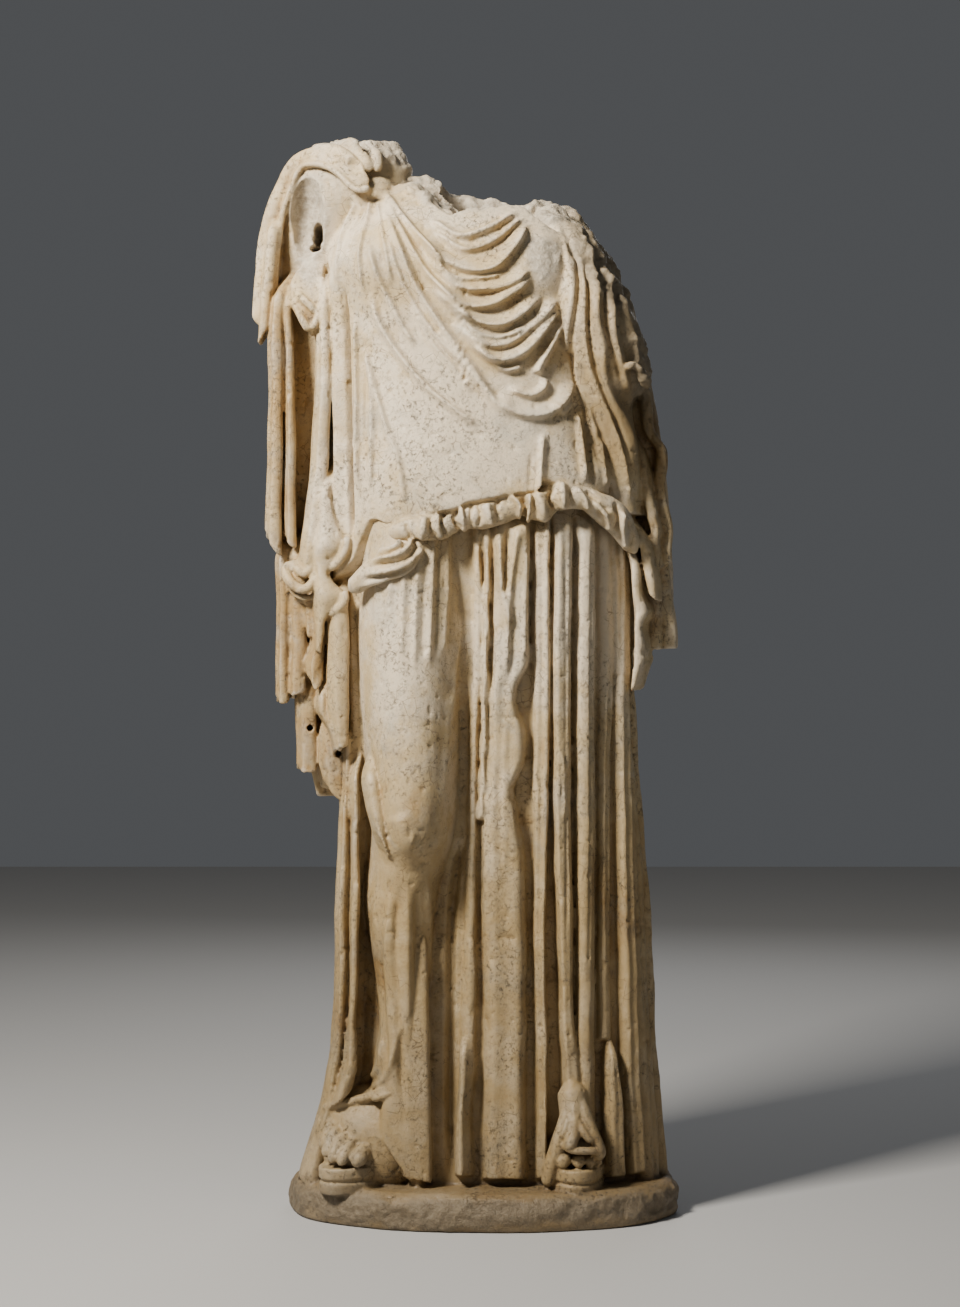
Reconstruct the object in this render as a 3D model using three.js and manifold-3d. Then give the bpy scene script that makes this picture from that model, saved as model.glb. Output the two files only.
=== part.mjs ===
// A headless, armless marble figure of a woman in a belted, overfolded robe with a mantle down
// her back, carved in one block with a low plinth. Millimetres, +Z up, her front towards -Y.
// The origin is under the middle of the whole statue's box, at the plinth's underside. Left and
// right are the viewer's.
import * as THREE from 'three';
import { mergeVertices } from 'three/addons/utils/BufferGeometryUtils.js';
import Module from 'manifold-3d';

// ---------------------------------------------------------------- driving dimensions
const PLINTH = { x: 28, y: -2, halfWidth: 316, halfDepth: 210, top: 58, power: 2.45 };
const FLOOR = PLINTH.top - 10; // hems and pleats are rooted in the plinth
const WAIST = 1150; // top of the skirt's pleats, under the gathered cloth
const SHOULDER = 1668; // broken edge of the chest
const SKIRT_POWER = 2.6; // squareness of each body's outline
const LEG_POWER = 2.2;
const CHEST_POWER = 2.5;
const SIDE_PLEATS = 11; // skirt pleats round the sides and back
const HAIR = 0.06; // gap kept between two stretches of skin that touch
const BACK_FOLDS = 9; // mantle folds down her back

// Each body: rows of height, left, right, front and back.
const SKIRT = [
  [30, -228, 300, -122, 150],
  [300, -200, 282, -112, 140],
  [600, -194, 268, -112, 128],
  [900, -190, 246, -116, 118],
  [1160, -200, 236, -122, 112],
];
const LEG = [
  [40, -120, -62, -140, 40],
  [200, -160, -62, -152, 40],
  [380, -152, -60, -152, 40],
  [520, -171, -38, -164, 40],
  [570, -168, -22, -176, 40],
  [615, -160, -12, -200, 40],
  [720, -172, -4, -200, 40],
  [850, -182, -1, -190, 40],
  [1140, -190, 0, -150, 40],
];
const CHEST = [
  [980, -238, 272, -166, 120],
  [1080, -236, 270, -164, 122],
  [1180, -233, 258, -162, 120],
  [1280, -231, 240, -154, 116],
  [1380, -229, 212, -152, 114],
  [1460, -228, 196, -156, 114],
  [1540, -226, 190, -154, 110],
  [1600, -214, 186, -132, 102],
  [1645, -196, 170, -100, 92],
  [1680, -150, 120, -60, 70],
];
const MANTLE = [
  [690, -262, -150, -20, 118],
  [760, -276, -90, -30, 126],
  [860, -290, 60, -30, 134],
  [930, -300, 318, -28, 140],
  [1060, -312, 324, -28, 142],
  [1320, -322, 290, -30, 140],
  [1430, -330, 284, -34, 136],
  [1530, -326, 252, -40, 130],
  [1600, -316, 206, -44, 116],
  [1650, -306, 150, -44, 96],
  [1690, -292, -60, -40, 78],
];
const SHOULDER_BLOCK = [
  [1540, -318, -120, -40, 100],
  [1600, -316, -110, -62, 96],
  [1650, -306, -100, -72, 88],
  [1690, -290, -92, -68, 76],
  [1720, -266, -100, -56, 64],
  [1742, -240, -120, -42, 50],
  [1750, -222, -140, -20, 30],
];
const ARM = [
  [1280, 150, 282, -96, 90],
  [1340, 140, 297, -128, 100],
  [1400, 120, 292, -142, 104],
  [1450, 104, 276, -146, 104],
  [1500, 96, 250, -140, 100],
  [1560, 92, 216, -120, 92],
  [1600, 96, 192, -98, 80],
  [1636, 112, 164, -60, 50],
];

// The overfold's hem: x and height, from side to side.
const HEM = [
  [-240, 985], [-205, 1030], [-186, 1052], [-150, 1080], [-130, 1116], [-60, 1134],
  [0, 1152], [118, 1172], [126, 1188], [170, 1176], [232, 1168], [256, 1130], [275, 1080],
];

// ---------------------------------------------------------------- curves
const { sin, cos, abs, sign, hypot, atan2, PI } = Math;

// A smooth curve through table rows whose first number is the height (or place) along it.
function between(rows, at) {
  let i = 0;
  while (i < rows.length - 2 && rows[i + 1][0] < at) i += 1;
  const low = rows[i];
  const high = rows[i + 1];
  const span = high[0] - low[0];
  const t = THREE.MathUtils.clamp((at - low[0]) / span, 0, 1);
  const before = rows[Math.max(i - 1, 0)];
  const after = rows[Math.min(i + 2, rows.length - 1)];
  return low.slice(1).map((value, k) => {
    const c = k + 1;
    const rise = ((high[c] - before[c]) / (high[0] - before[0])) * span;
    const fall = ((after[c] - low[c]) / (after[0] - low[0])) * span;
    const square = t * t;
    const cube = square * t;
    return (2 * cube - 3 * square + 1) * value + (cube - 2 * square + t) * rise
      + (3 * square - 2 * cube) * high[c] + (cube - square) * fall;
  });
}

function straight(rows, at) {
  const k = rows.findIndex((row) => row[0] > at);
  if (k === 0) return rows[0][1];
  if (k < 0) return rows[rows.length - 1][1];
  const [a, b] = [rows[k - 1], rows[k]];
  return THREE.MathUtils.mapLinear(at, a[0], b[0], a[1], b[1]);
}

// A rounded rectangle of unit half sizes; angle 0 is its front.
function outline(angle, power) {
  const bend = (v) => sign(v) * abs(v) ** (2 / power);
  return [bend(sin(angle)), -bend(cos(angle))];
}

// ---------------------------------------------------------------- closed shapes
// A cylinder's rings of vertices are carried to place(angle, height from 0 to 1).
function body(around, up, place) {
  const cylinder = new THREE.CylinderGeometry(1, 1, 1, around, up);
  cylinder.deleteAttribute('normal');
  cylinder.deleteAttribute('uv');
  const shape = mergeVertices(cylinder, 1e-4);
  const position = shape.getAttribute('position');
  const caps = [0, 1].map((height) => {
    const middle = new THREE.Vector3();
    for (let k = 0; k < around; k += 1) middle.add(place((2 * PI * k) / around, height));
    return middle.divideScalar(around);
  });
  for (let i = 0; i < position.count; i += 1) {
    const [x, z] = [position.getX(i), position.getZ(i)];
    const height = position.getY(i) + 0.5;
    const onCap = hypot(x, z) < 0.5;
    const p = onCap ? caps[Math.round(height)] : place(atan2(x, z), height);
    position.setXYZ(i, p.x, p.y, p.z);
  }
  return shape;
}

function pointOf(rows, power, angle, z) {
  const [left, right, front, back] = between(rows, z);
  const [u, v] = outline(angle, power);
  const y = v < 0 ? -v * front : v * back;
  return new THREE.Vector3((left + right) / 2 + (u * (right - left)) / 2, y, z);
}

function bodyOf(rows, power, around, up) {
  const [low, high] = [rows[0][0], rows[rows.length - 1][0]];
  return body(around, up, (angle, t) => pointOf(rows, power, angle, low + (high - low) * t));
}

function frontOf(rows, power, x, z) {
  const [left, right, front] = between(rows, z);
  const q = Math.min(abs((2 * x - left - right) / (right - left)), 0.985);
  return front * (1 - q ** power) ** (1 / power);
}

// A hanging fold: rows of height, x, y, width, depth and turn in degrees, from the bottom up.
// Its lower end is cut at a slant, or to a point, over its last 60 mm. With four sides it is a
// flat strip, with more it is rounded.
function fold(rows, { slant = 0, point = 0, power = 3, around = 8, up = 5 } = {}) {
  const low = rows[0][0];
  const high = rows[rows.length - 1][0];
  return body(around, up, (angle, t) => {
    const z = low + (high - low) * t;
    const [x, y, width, depth, turn] = between(rows, z);
    const [a, b] = around === 4 ? outline(angle + PI / 4, 9) : outline(angle, power);
    const [u, v] = [(a * width) / 2, (b * depth) / 2];
    const r = THREE.MathUtils.degToRad(turn);
    const drop = THREE.MathUtils.clamp(1 - (z - low) / 60, 0, 1) * (slant * u + point * abs(u));
    return new THREE.Vector3(x + u * cos(r) - v * sin(r), y + u * sin(r) + v * cos(r), z + drop);
  });
}

// A roll of cloth along points, half as wide and as proud as the two sizes say.
function roll(points, width, proud, { around = 6, steps = 8, gathers = 0 } = {}) {
  const curve = new THREE.CatmullRomCurve3(points.map((p) => new THREE.Vector3(...p)));
  const out = new THREE.Vector3(0, -1, 0);
  return body(around, steps, (angle, t) => {
    const along = curve.getTangentAt(t);
    const face = out.clone().addScaledVector(along, -along.dot(out)).normalize();
    const side = new THREE.Vector3().crossVectors(along, face);
    const end = Math.max(0.25, Math.min(1, 6 * t, 6 * (1 - t)));
    const size = end * (1 + gathers * cos(PI * steps * t));
    return curve.getPointAt(t)
      .addScaledVector(face, cos(angle) * proud * size)
      .addScaledVector(side, -sin(angle) * width * size);
  });
}

function lump([x, y, z], [rx, ry, rz], turn = 0, around = 10) {
  const shape = body(around, Math.round(around / 2), (angle, t) => {
    const lift = PI * (0.06 + 0.88 * t) - PI / 2;
    const reach = cos(lift);
    return new THREE.Vector3(rx * reach * sin(angle), -ry * reach * cos(angle), rz * sin(lift));
  });
  return shape.rotateZ(THREE.MathUtils.degToRad(turn)).translate(x, y, z);
}

// ---------------------------------------------------------------- plinth
function plinth() {
  const inset = [[0, 8], [3, 2], [42, 1], [54, 8], [PLINTH.top, 16]];
  return body(36, 4, (angle, t) => {
    const [z, cut] = inset[Math.round(t * 4)];
    const [u, v] = outline(angle, PLINTH.power);
    const chips = 1 + 0.012 * sin(3 * angle + 0.6) + 0.01 * sin(5 * angle + 2);
    return new THREE.Vector3(
      PLINTH.x + (PLINTH.halfWidth * chips - cut) * u,
      PLINTH.y + (PLINTH.halfDepth * chips - cut) * v,
      z,
    );
  });
}

// ---------------------------------------------------------------- skirt
// The front pleats: how far each stands proud, then rows of height, left and right edge.
const FRONT_PLEATS = [
  [26, [300, -12, 10], [500, -5, 12], [700, -1, 13], [WAIST, 5, 22]],
  [34, [FLOOR, -20, 9], [180, -18, 5], [290, -14, 10]],
  [30, [700, 23, 40], [950, 24, 36], [WAIST, 22, 34]],
  [34, [FLOOR, 22, 92], [500, 22, 92], [600, 22, 88], [700, 23, 72], [900, 28, 62]],
  [32, [760, 40, 60], [950, 38, 62], [WAIST, 34, 56]],
  [34, [900, 44, 62], [1060, 54, 76], [WAIST, 62, 80]],
  [32, [560, 50, 92], [620, 50, 86], [690, 50, 73], [750, 53, 93], [800, 56, 86], [835, 58, 80],
    [885, 62, 93], [1050, 80, 98], [WAIST, 84, 99]],
  [30, [FLOOR, 106, 122], [300, 107, 124], [500, 104, 122], [700, 102, 130], [WAIST, 103, 128]],
  [34, [150, 158, 192], [330, 145, 178], [500, 141, 168], [700, 134, 162], [WAIST, 132, 162]],
  [34, [210, 160, 192], [500, 171, 202], [700, 169, 200], [WAIST, 168, 196]],
  [24, [285, 208, 230], [500, 207, 230], [WAIST, 204, 228]],
  [36, [FLOOR, 215, 244], [200, 213, 238], [280, 214, 232]],
  [26, [FLOOR, 252, 280], [300, 242, 266], [700, 233, 257], [WAIST, 230, 248]],
  [58, [FLOOR, -106, -58], [300, -106, -62], [450, -104, -62], [560, -96, -66]],
];

function frontPleat([proud, ...edges]) {
  const depth = 70;
  const rows = edges.map(([z, left, right]) => {
    const x = (left + right) / 2;
    const at = (dx) => frontOf(SKIRT, SKIRT_POWER, x + dx, z);
    const turn = THREE.MathUtils.radToDeg(Math.atan((at(12) - at(-12)) / 24)) * 0.6;
    return [z, x, at(0) - proud + depth / 2, right - left, depth, turn];
  });
  return fold(rows, { around: 6, power: 4, up: edges.length === 2 ? 2 : edges.length });
}

// A pleat of the sides or back, straight out from the skirt's body.
function sidePleat(k) {
  const angle = THREE.MathUtils.degToRad(62 + (238 * (k + 0.5)) / SIDE_PLEATS);
  const vary = 1 + 0.18 * sin(2.4 * k);
  const rows = [FLOOR, 500, WAIST].map((z) => {
    const p = pointOf(SKIRT, SKIRT_POWER, angle, z);
    const near = pointOf(SKIRT, SKIRT_POWER, angle + 0.02, z).sub(p);
    const out = new THREE.Vector2(near.y, -near.x).normalize();
    const flare = 1.2 - (0.35 * z) / WAIST;
    const reach = 20 * vary * flare - 30;
    const turn = THREE.MathUtils.radToDeg(atan2(out.x, -out.y));
    return [z, p.x + out.x * reach, p.y + out.y * reach, 56 * vary * flare, 60, turn];
  });
  return fold(rows, { power: 2.6, around: 6, up: 2 });
}

// ---------------------------------------------------------------- overfold and its gathers
// The two breasts under the cloth: x, height, half width, half height and how far each swells.
const BREASTS = [[-152, 1545, 58, 66, 24], [128, 1530, 52, 62, 20]];

function swell(x, z) {
  return BREASTS.reduce((sum, [bx, bz, halfWidth, halfHeight, out]) => (
    sum + out * Math.exp(-(((x - bx) / halfWidth) ** 2) - ((z - bz) / halfHeight) ** 2)
  ), 0);
}

function overfold() {
  return body(26, 8, (angle, t) => {
    const x = pointOf(CHEST, CHEST_POWER, angle, WAIST).x;
    const isFront = THREE.MathUtils.smoothstep(cos(angle), -0.1, 0.3);
    const hem = THREE.MathUtils.lerp(1040, straight(HEM, x), isFront);
    const p = pointOf(CHEST, CHEST_POWER, angle, hem + (SHOULDER - hem) * t);
    p.y -= isFront * swell(p.x, p.z);
    return p;
  });
}

// Folds on the chest: half width, how proud, then points of x and height.
const CHEST_FOLDS = [
  // hanging between the two shoulders
  [12, 15, [-75, 1572], [-40, 1535], [8, 1518], [45, 1526], [76, 1562], [94, 1600]],
  [12, 11, [-70, 1540], [-20, 1496], [30, 1490], [94, 1520]],
  [12, 14, [-66, 1510], [-10, 1460], [32, 1455], [68, 1470], [104, 1502]],
  [12, 14, [-50, 1475], [0, 1432], [50, 1424], [112, 1478]],
  [13, 16, [-10, 1420], [38, 1382], [76, 1386], [112, 1424], [146, 1480]],
  [11, 12, [140, 1440], [122, 1396], [106, 1362], [60, 1364]],
  [13, 12, [50, 1318], [74, 1296], [118, 1292], [150, 1312], [168, 1350]],
  // falling from the shoulder's clasp across the body
  [12, 10, [-135, 1650], [-96, 1585], [-52, 1500], [0, 1445]],
  [12, 13, [-145, 1650], [-110, 1570], [-78, 1490], [-34, 1425], [18, 1352], [70, 1284]],
  [11, 7, [-152, 1490], [-136, 1434], [-102, 1382], [-60, 1332], [14, 1272]],
  [10, 8, [110, 1250], [110, 1165]],
  // long upright folds at her two sides
  [9, 12, [-234, 1560], [-235, 1300], [-238, 1010]],
  [12, 9, [-210, 1560], [-212, 1300], [-220, 1030]],
  [10, 12, [150, 1600], [166, 1540], [166, 1420], [196, 1270], [212, 1185]],
  [10, 13, [186, 1560], [202, 1450], [232, 1310], [262, 1210], [274, 1130]],
];
const CHEST_GROOVES = [
  [6, 24, [-190, 1460], [-190, 1300], [-187, 1130]],
  [7, 16, [172, 1580], [181, 1480], [192, 1370], [224, 1290], [256, 1160]],
];

function chestFold([width, proud, ...points]) {
  const rooted = 9; // its middle line lies this deep in the chest
  const route = points.map(([x, z]) => [
    x, frontOf(CHEST, CHEST_POWER, x, z) - swell(x, z) + rooted, z,
  ]);
  return roll(route, 1.5 * width, proud + rooted, { around: 4, steps: points.length + 1 });
}

// The cloth gathered over the belt, in two rolls and a small knot: x, y and height.
const GATHERS = [
  [20, 18, 16, [-112, -150, 1098], [-52, -158, 1102], [-12, -160, 1128], [38, -160, 1124],
    [78, -158, 1146], [122, -158, 1140], [174, -146, 1160], [226, -122, 1128],
    [262, -88, 1080], [264, -80, 1056]],
  [20, 18, 7, [-62, -146, 1106], [-86, -158, 1076], [-134, -160, 1058], [-184, -136, 1022]],
  [13, 12, 4, [-150, -156, 1036], [-172, -150, 1012], [-196, -130, 1000]],
];

// ---------------------------------------------------------------- mantle
// Fold ends at her two sides: how the end is cut, then rows as fold() takes them.
const MANTLE_ENDS = [
  // the outer edge over the shoulder, broken into a zigzag
  [{ slant: 0.8 }, [1425, -333, -24, 26, 90, 0], [1500, -326, -22, 24, 90, -6],
    [1600, -318, -20, 26, 80, -12], [1690, -282, -14, 40, 60, -30]],
  [{ slant: -0.8 }, [1412, -318, -36, 24, 80, 4], [1520, -318, -30, 24, 80, 0]],
  // the second tier
  [{ slant: -0.9 }, [1062, -312, -28, 28, 90, 0], [1300, -314, -26, 32, 90, 0],
    [1440, -312, -24, 32, 90, 0]],
  [{ }, [1080, -290, -18, 26, 80, 0], [1460, -292, -14, 30, 80, 0]],
  [{ slant: -0.7 }, [1004, -276, -44, 40, 84, 0], [1150, -256, -40, 24, 80, 4],
    [1440, -258, -36, 26, 80, 4]],
  // the third tier, broken off short
  [{ }, [832, -310, -10, 18, 90, 0], [1070, -309, -6, 19, 90, 0]],
  [{ }, [846, -287, -18, 17, 90, 0], [1060, -287, -14, 18, 90, 0]],
  [{ point: -0.6 }, [938, -262, -30, 18, 90, 6], [1010, -266, -26, 22, 90, 6]],
  [{ point: -0.6 }, [858, -256, -28, 20, 90, 6], [960, -258, -24, 18, 90, 6]],
  // the foot of the mantle
  [{ }, [716, -268, -4, 26, 90, 0], [860, -268, 0, 30, 90, 0]],
  [{ point: -0.3 }, [678, -224, -18, 26, 90, 10], [760, -232, -16, 34, 90, 10],
    [860, -244, -12, 22, 90, 10]],
  // the overfold's open side, zigzag to the hip
  [{ slant: 0.7 }, [960, -232, -68, 20, 110, 12], [1110, -232, -64, 26, 110, 12]],
  [{ slant: -0.8 }, [1004, -206, -94, 18, 90, 16], [1090, -206, -92, 24, 90, 16]],
  [{ point: -0.4 }, [738, -208, -58, 16, 90, 10], [900, -218, -62, 32, 90, 10],
    [990, -220, -60, 26, 90, 10]],
  // long outer pleats of the skirt on the same side
  [{ }, [FLOOR, -252, -58, 34, 80, 25], [180, -226, -52, 26, 80, 25],
    [400, -207, -40, 22, 80, 25], [760, -200, -30, 24, 80, 25]],
  [{ slant: 0.5 }, [200, -204, -88, 34, 80, 20], [300, -187, -76, 22, 80, 20],
    [760, -182, -62, 24, 80, 20]],
  // the other side: the edge behind the broken arm
  [{ slant: 0.4 }, [1060, 323, 12, 26, 90, 0], [1230, 312, 14, 28, 90, 0],
    [1330, 292, 18, 24, 90, 0], [1420, 290, 20, 20, 90, 0]],
  [{ slant: 0.1 }, [924, 332, 22, 30, 100, 0], [1110, 320, 26, 26, 100, 0]],
  [{ slant: -0.6 }, [1048, 306, -14, 22, 90, -10], [1150, 292, -8, 18, 90, -10],
    [1300, 290, 0, 18, 90, -10]],
  [{ slant: 0.5 }, [1002, 300, -24, 22, 90, -10], [1240, 276, -20, 16, 90, -10]],
  [{ slant: 0.6 }, [850, 270, -40, 14, 90, -24], [1000, 268, -42, 20, 90, -24]],
];

// The mantle's hem rises from one side of her back to the other.
const BACK_HEM = [[0, 700], [0.3, 735], [0.6, 850], [1, 930]];

function backFold(k) {
  const t = (k + 0.5) / BACK_FOLDS;
  const u = 1.94 * t - 0.97;
  const hem = straight(BACK_HEM, t) + 8 * sin(5 * k);
  const rows = [hem, 1060, 1600].map((z) => {
    const [left, right, , back] = between(MANTLE, Math.max(z, 930));
    const halfWidth = (right - left) / 2;
    const gather = 1 - (0.1 * (z - 930)) / 670;
    const x = (left + right) / 2 + halfWidth * u * gather;
    const y = back * (1 - abs(u) ** 2.6) ** (1 / 2.6) - 22;
    const turn = -THREE.MathUtils.radToDeg(Math.atan(u ** 3));
    const vary = 1 + 0.15 * sin(3.1 * k);
    return [z, x, y, ((2 * halfWidth) / BACK_FOLDS) * 0.88 * vary, 70 + 6 * sin(1.7 * k), turn];
  });
  return fold(rows, { power: 2.6, around: 6, up: 2 });
}

// Rolled edges of the mantle over the shoulder, and the neckline: half size, then points.
const RIMS = [
  [11, [-166, -96, 1664], [-196, -92, 1700], [-232, -66, 1728], [-262, -30, 1728]],
  [12, [-150, -98, 1672], [-176, -92, 1712], [-206, -66, 1742], [-226, -30, 1748]],
  [12, [-182, -92, 1652], [-218, -88, 1688], [-256, -66, 1706], [-312, -22, 1640]],
  [9, [-168, -98, 1660], [-120, -92, 1672], [-60, -84, 1636], [-22, -84, 1614]],
  [8, [-22, -84, 1614], [-6, -104, 1592], [20, -110, 1588], [84, -88, 1628]],
];

// ---------------------------------------------------------------- feet
const SOLE = { halfWidth: 44, halfLength: 78, thick: 36 };
const FEET = [
  {
    at: [168, -114], turn: 0, instep: [166, -108, 110],
    toes: [[149, -170, 98, 14], [170, -168, 97, 10], [188, -160, 97, 9]],
  },
  {
    at: [-184, -104], turn: -32, instep: [-172, -100, 124],
    toes: [[-196, -160, 106, 14], [-216, -150, 110, 11], [-230, -132, 115, 10]],
  },
];

function foot({ at: [x, y], turn, instep, toes }) {
  const { halfWidth, halfLength, thick } = SOLE;
  const sole = body(14, 1, (angle, t) => {
    const [u, v] = outline(angle, 2.6);
    return new THREE.Vector3(halfWidth * u, halfLength * v, 56 + thick * t);
  });
  sole.rotateZ(THREE.MathUtils.degToRad(turn)).translate(x, y, 0);
  const ends = toes.map(([tx, ty, tz, r]) => lump([tx, ty, tz], [r, 24, r], turn, 6));
  return [sole, lump(instep, [44, 62, 50], turn, 8), ...ends];
}

// Folds of the hem where it falls over the feet.
const FOOT_FOLDS = [
  [8, 8, [165, -150, 196], [152, -164, 160], [144, -168, 118]],
  [10, 9, [176, -152, 200], [170, -170, 160], [188, -172, 120]],
  [7, 7, [168, -166, 164], [188, -170, 144], [208, -158, 116]],
  [9, 9, [-112, -150, 210], [-150, -150, 196], [-216, -120, 178], [-240, -90, 176]],
  [7, 7, [-108, -152, 96], [-124, -154, 124], [-150, -148, 172]],
];

// ---------------------------------------------------------------- the statue
const wasm = await Module();
wasm.setup();

function toSolid(shape) {
  return new wasm.Manifold(new wasm.Mesh({
    numProp: 3,
    vertProperties: new Float32Array(shape.getAttribute('position').array),
    triVerts: new Uint32Array(shape.getIndex().array),
  }));
}

// Where two stretches of skin touch in a point, each is drawn back into its own marble.
function drawnApart(geometry) {
  geometry.computeVertexNormals();
  const [position, normal] = [geometry.getAttribute('position'), geometry.getAttribute('normal')];
  const places = Array.from({ length: position.count }, (_, i) => i);
  const point = new THREE.Vector3();
  const keyOf = (i) => point.fromBufferAttribute(position, i).toArray().map((v) => v.toFixed(2)).join();
  for (const touching of Map.groupBy(places, keyOf).values()) {
    if (touching.length === 1) continue;
    touching.forEach((i, k) => {
      const inward = new THREE.Vector3().fromBufferAttribute(normal, i).multiplyScalar(-HAIR * (k + 1));
      point.fromBufferAttribute(position, i).add(inward);
      position.setXYZ(i, point.x, point.y, point.z);
    });
  }
  return geometry;
}

// The outer skin alone: gaps sealed deep between the folds are solid marble.
function toGeometry(solid) {
  const { vertProperties, triVerts } = solid.getMesh();
  const parent = Uint32Array.from({ length: vertProperties.length / 3 }, (_, i) => i);
  const rootOf = (i) => {
    let at = i;
    while (parent[at] !== at) at = parent[at];
    parent[i] = at;
    return at;
  };
  for (let i = 0; i < triVerts.length; i += 3) {
    parent[rootOf(triVerts[i])] = rootOf(triVerts[i + 1]);
    parent[rootOf(triVerts[i + 1])] = rootOf(triVerts[i + 2]);
  }
  const skins = Map.groupBy(triVerts, rootOf);
  const outer = [...skins.values()].reduce((a, b) => (a.length > b.length ? a : b));
  const used = [...new Set(outer)];
  const newIndex = new Map(used.map((vertex, i) => [vertex, i]));
  const points = used.flatMap((vertex) => [...vertProperties.slice(3 * vertex, 3 * vertex + 3)]);
  const geometry = new THREE.BufferGeometry();
  geometry.setAttribute('position', new THREE.Float32BufferAttribute(points, 3));
  geometry.setIndex(outer.map((vertex) => newIndex.get(vertex)));
  return drawnApart(geometry);
}

function joined(shapes) {
  let solids = shapes.map(toSolid);
  while (solids.length > 1) {
    const pairs = [];
    for (let i = 0; i < solids.length; i += 2) {
      pairs.push(i + 1 < solids.length ? solids[i].add(solids[i + 1]) : solids[i]);
    }
    solids = pairs;
  }
  return solids[0];
}

const carved = joined([
  plinth(),
  bodyOf(SKIRT, SKIRT_POWER, 24, 3),
  bodyOf(LEG, LEG_POWER, 16, 11),
  ...FRONT_PLEATS.map(frontPleat),
  ...Array.from({ length: SIDE_PLEATS }, (_, k) => sidePleat(k)),
  overfold(),
  ...CHEST_FOLDS.map(chestFold),
  ...GATHERS.map(([width, proud, steps, ...points]) => (
    roll(points, width, proud, { around: 6, steps, gathers: 0.2 })
  )),
  bodyOf(MANTLE, 2.6, 20, 9),
  bodyOf(SHOULDER_BLOCK, 2.6, 16, 5),
  bodyOf(ARM, 2.4, 18, 6),
  ...MANTLE_ENDS.map(([end, ...rows]) => fold(rows, { ...end, around: 4, up: rows.length })),
  ...Array.from({ length: BACK_FOLDS }, (_, k) => backFold(k)),
  ...RIMS.map(([size, ...points]) => roll(points, size, size, { steps: 5 })),
  ...FEET.flatMap(foot),
  ...FOOT_FOLDS.map(([width, proud, ...points]) => roll(points, width, proud, { steps: 3 })),
]);

// The hollow where her right arm was let in, with its dowel socket, the neck's shallow bed,
// the gap behind the broken forearm and the deep grooves of the chest.
const hollows = joined([
  lump([-262, -86, 1596], [30, 66, 88]),
  fold([[1566, -247, -20, 21, 110, 0], [1604, -247, -20, 21, 110, 0]], { power: 5, up: 1 }),
  lump([32, -4, 1668], [92, 62, 66], 0, 14),
  lump([284, -70, 1180], [13, 60, 150]),
  ...CHEST_GROOVES.map(chestFold),
]);

const marble = new THREE.MeshStandardMaterial({ color: 0xcdbb9c, roughness: 0.65, metalness: 0 });
const statue = new THREE.Mesh(toGeometry(carved.subtract(hollows)), marble);
statue.name = 'statue';
statue.geometry.computeBoundingBox();
const middle = statue.geometry.boundingBox.getCenter(new THREE.Vector3());
statue.geometry.translate(-middle.x, -middle.y, 0);

const group = new THREE.Group();
group.add(statue);
export default group;
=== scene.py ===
"""A headless, armless marble figure in a belted robe and mantle, on its plinth.

The figure is built up like a clay model, in millimetres, from a few kinds of form: bodies given
by their outline at a few heights, hanging folds, rolls of cloth, and strokes that raise or sink
the cloth. The forms are joined into two meshes, one below the belt and one above it, which are
then worn, broken and stained as one block of marble is, with shade painted into their hollows,
lower down and on her left side. Left and right are the viewer's, and the figure faces -Y.
"""
import math

import bpy
import numpy as np
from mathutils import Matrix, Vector


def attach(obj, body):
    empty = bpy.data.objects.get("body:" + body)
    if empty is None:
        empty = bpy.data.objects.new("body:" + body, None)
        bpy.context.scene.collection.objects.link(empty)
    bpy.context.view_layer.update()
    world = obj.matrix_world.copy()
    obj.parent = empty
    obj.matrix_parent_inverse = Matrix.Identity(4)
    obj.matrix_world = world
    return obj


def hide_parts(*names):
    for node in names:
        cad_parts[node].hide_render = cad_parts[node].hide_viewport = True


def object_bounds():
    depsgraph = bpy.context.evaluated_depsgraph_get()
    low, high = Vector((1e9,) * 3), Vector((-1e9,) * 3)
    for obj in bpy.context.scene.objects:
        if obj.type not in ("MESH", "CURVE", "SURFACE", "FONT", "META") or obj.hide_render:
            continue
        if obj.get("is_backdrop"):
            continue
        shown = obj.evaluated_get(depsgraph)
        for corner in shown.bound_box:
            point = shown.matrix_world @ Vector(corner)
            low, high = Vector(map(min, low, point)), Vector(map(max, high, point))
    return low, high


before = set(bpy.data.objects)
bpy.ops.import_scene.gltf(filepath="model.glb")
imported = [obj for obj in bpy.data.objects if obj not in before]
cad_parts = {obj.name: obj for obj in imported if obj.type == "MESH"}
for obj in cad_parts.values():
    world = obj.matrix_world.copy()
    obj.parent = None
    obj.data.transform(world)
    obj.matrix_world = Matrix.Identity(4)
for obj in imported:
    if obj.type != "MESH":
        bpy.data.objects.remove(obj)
cad_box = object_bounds()

MM = 0.001
CENTRE = np.array([-0.4, 5.3, 0.0])  # from the modelling axes to the statue's own, in mm
GRAIN = 2.2  # size of the finest form kept, in mm
MOST_TRIANGLES = 196000  # in each of the two meshes

PLINTH_TOP = 58.0
FLOOR = PLINTH_TOP - 10  # hems and pleats are rooted in the plinth
HEM_LINE = 66.0  # the skirt's lower edge, a little over the plinth
WAIST = 1152.0  # the skirt's pleats come out from under the gathered cloth here

# ------------------------------------------------------------------ curves and outlines


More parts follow.
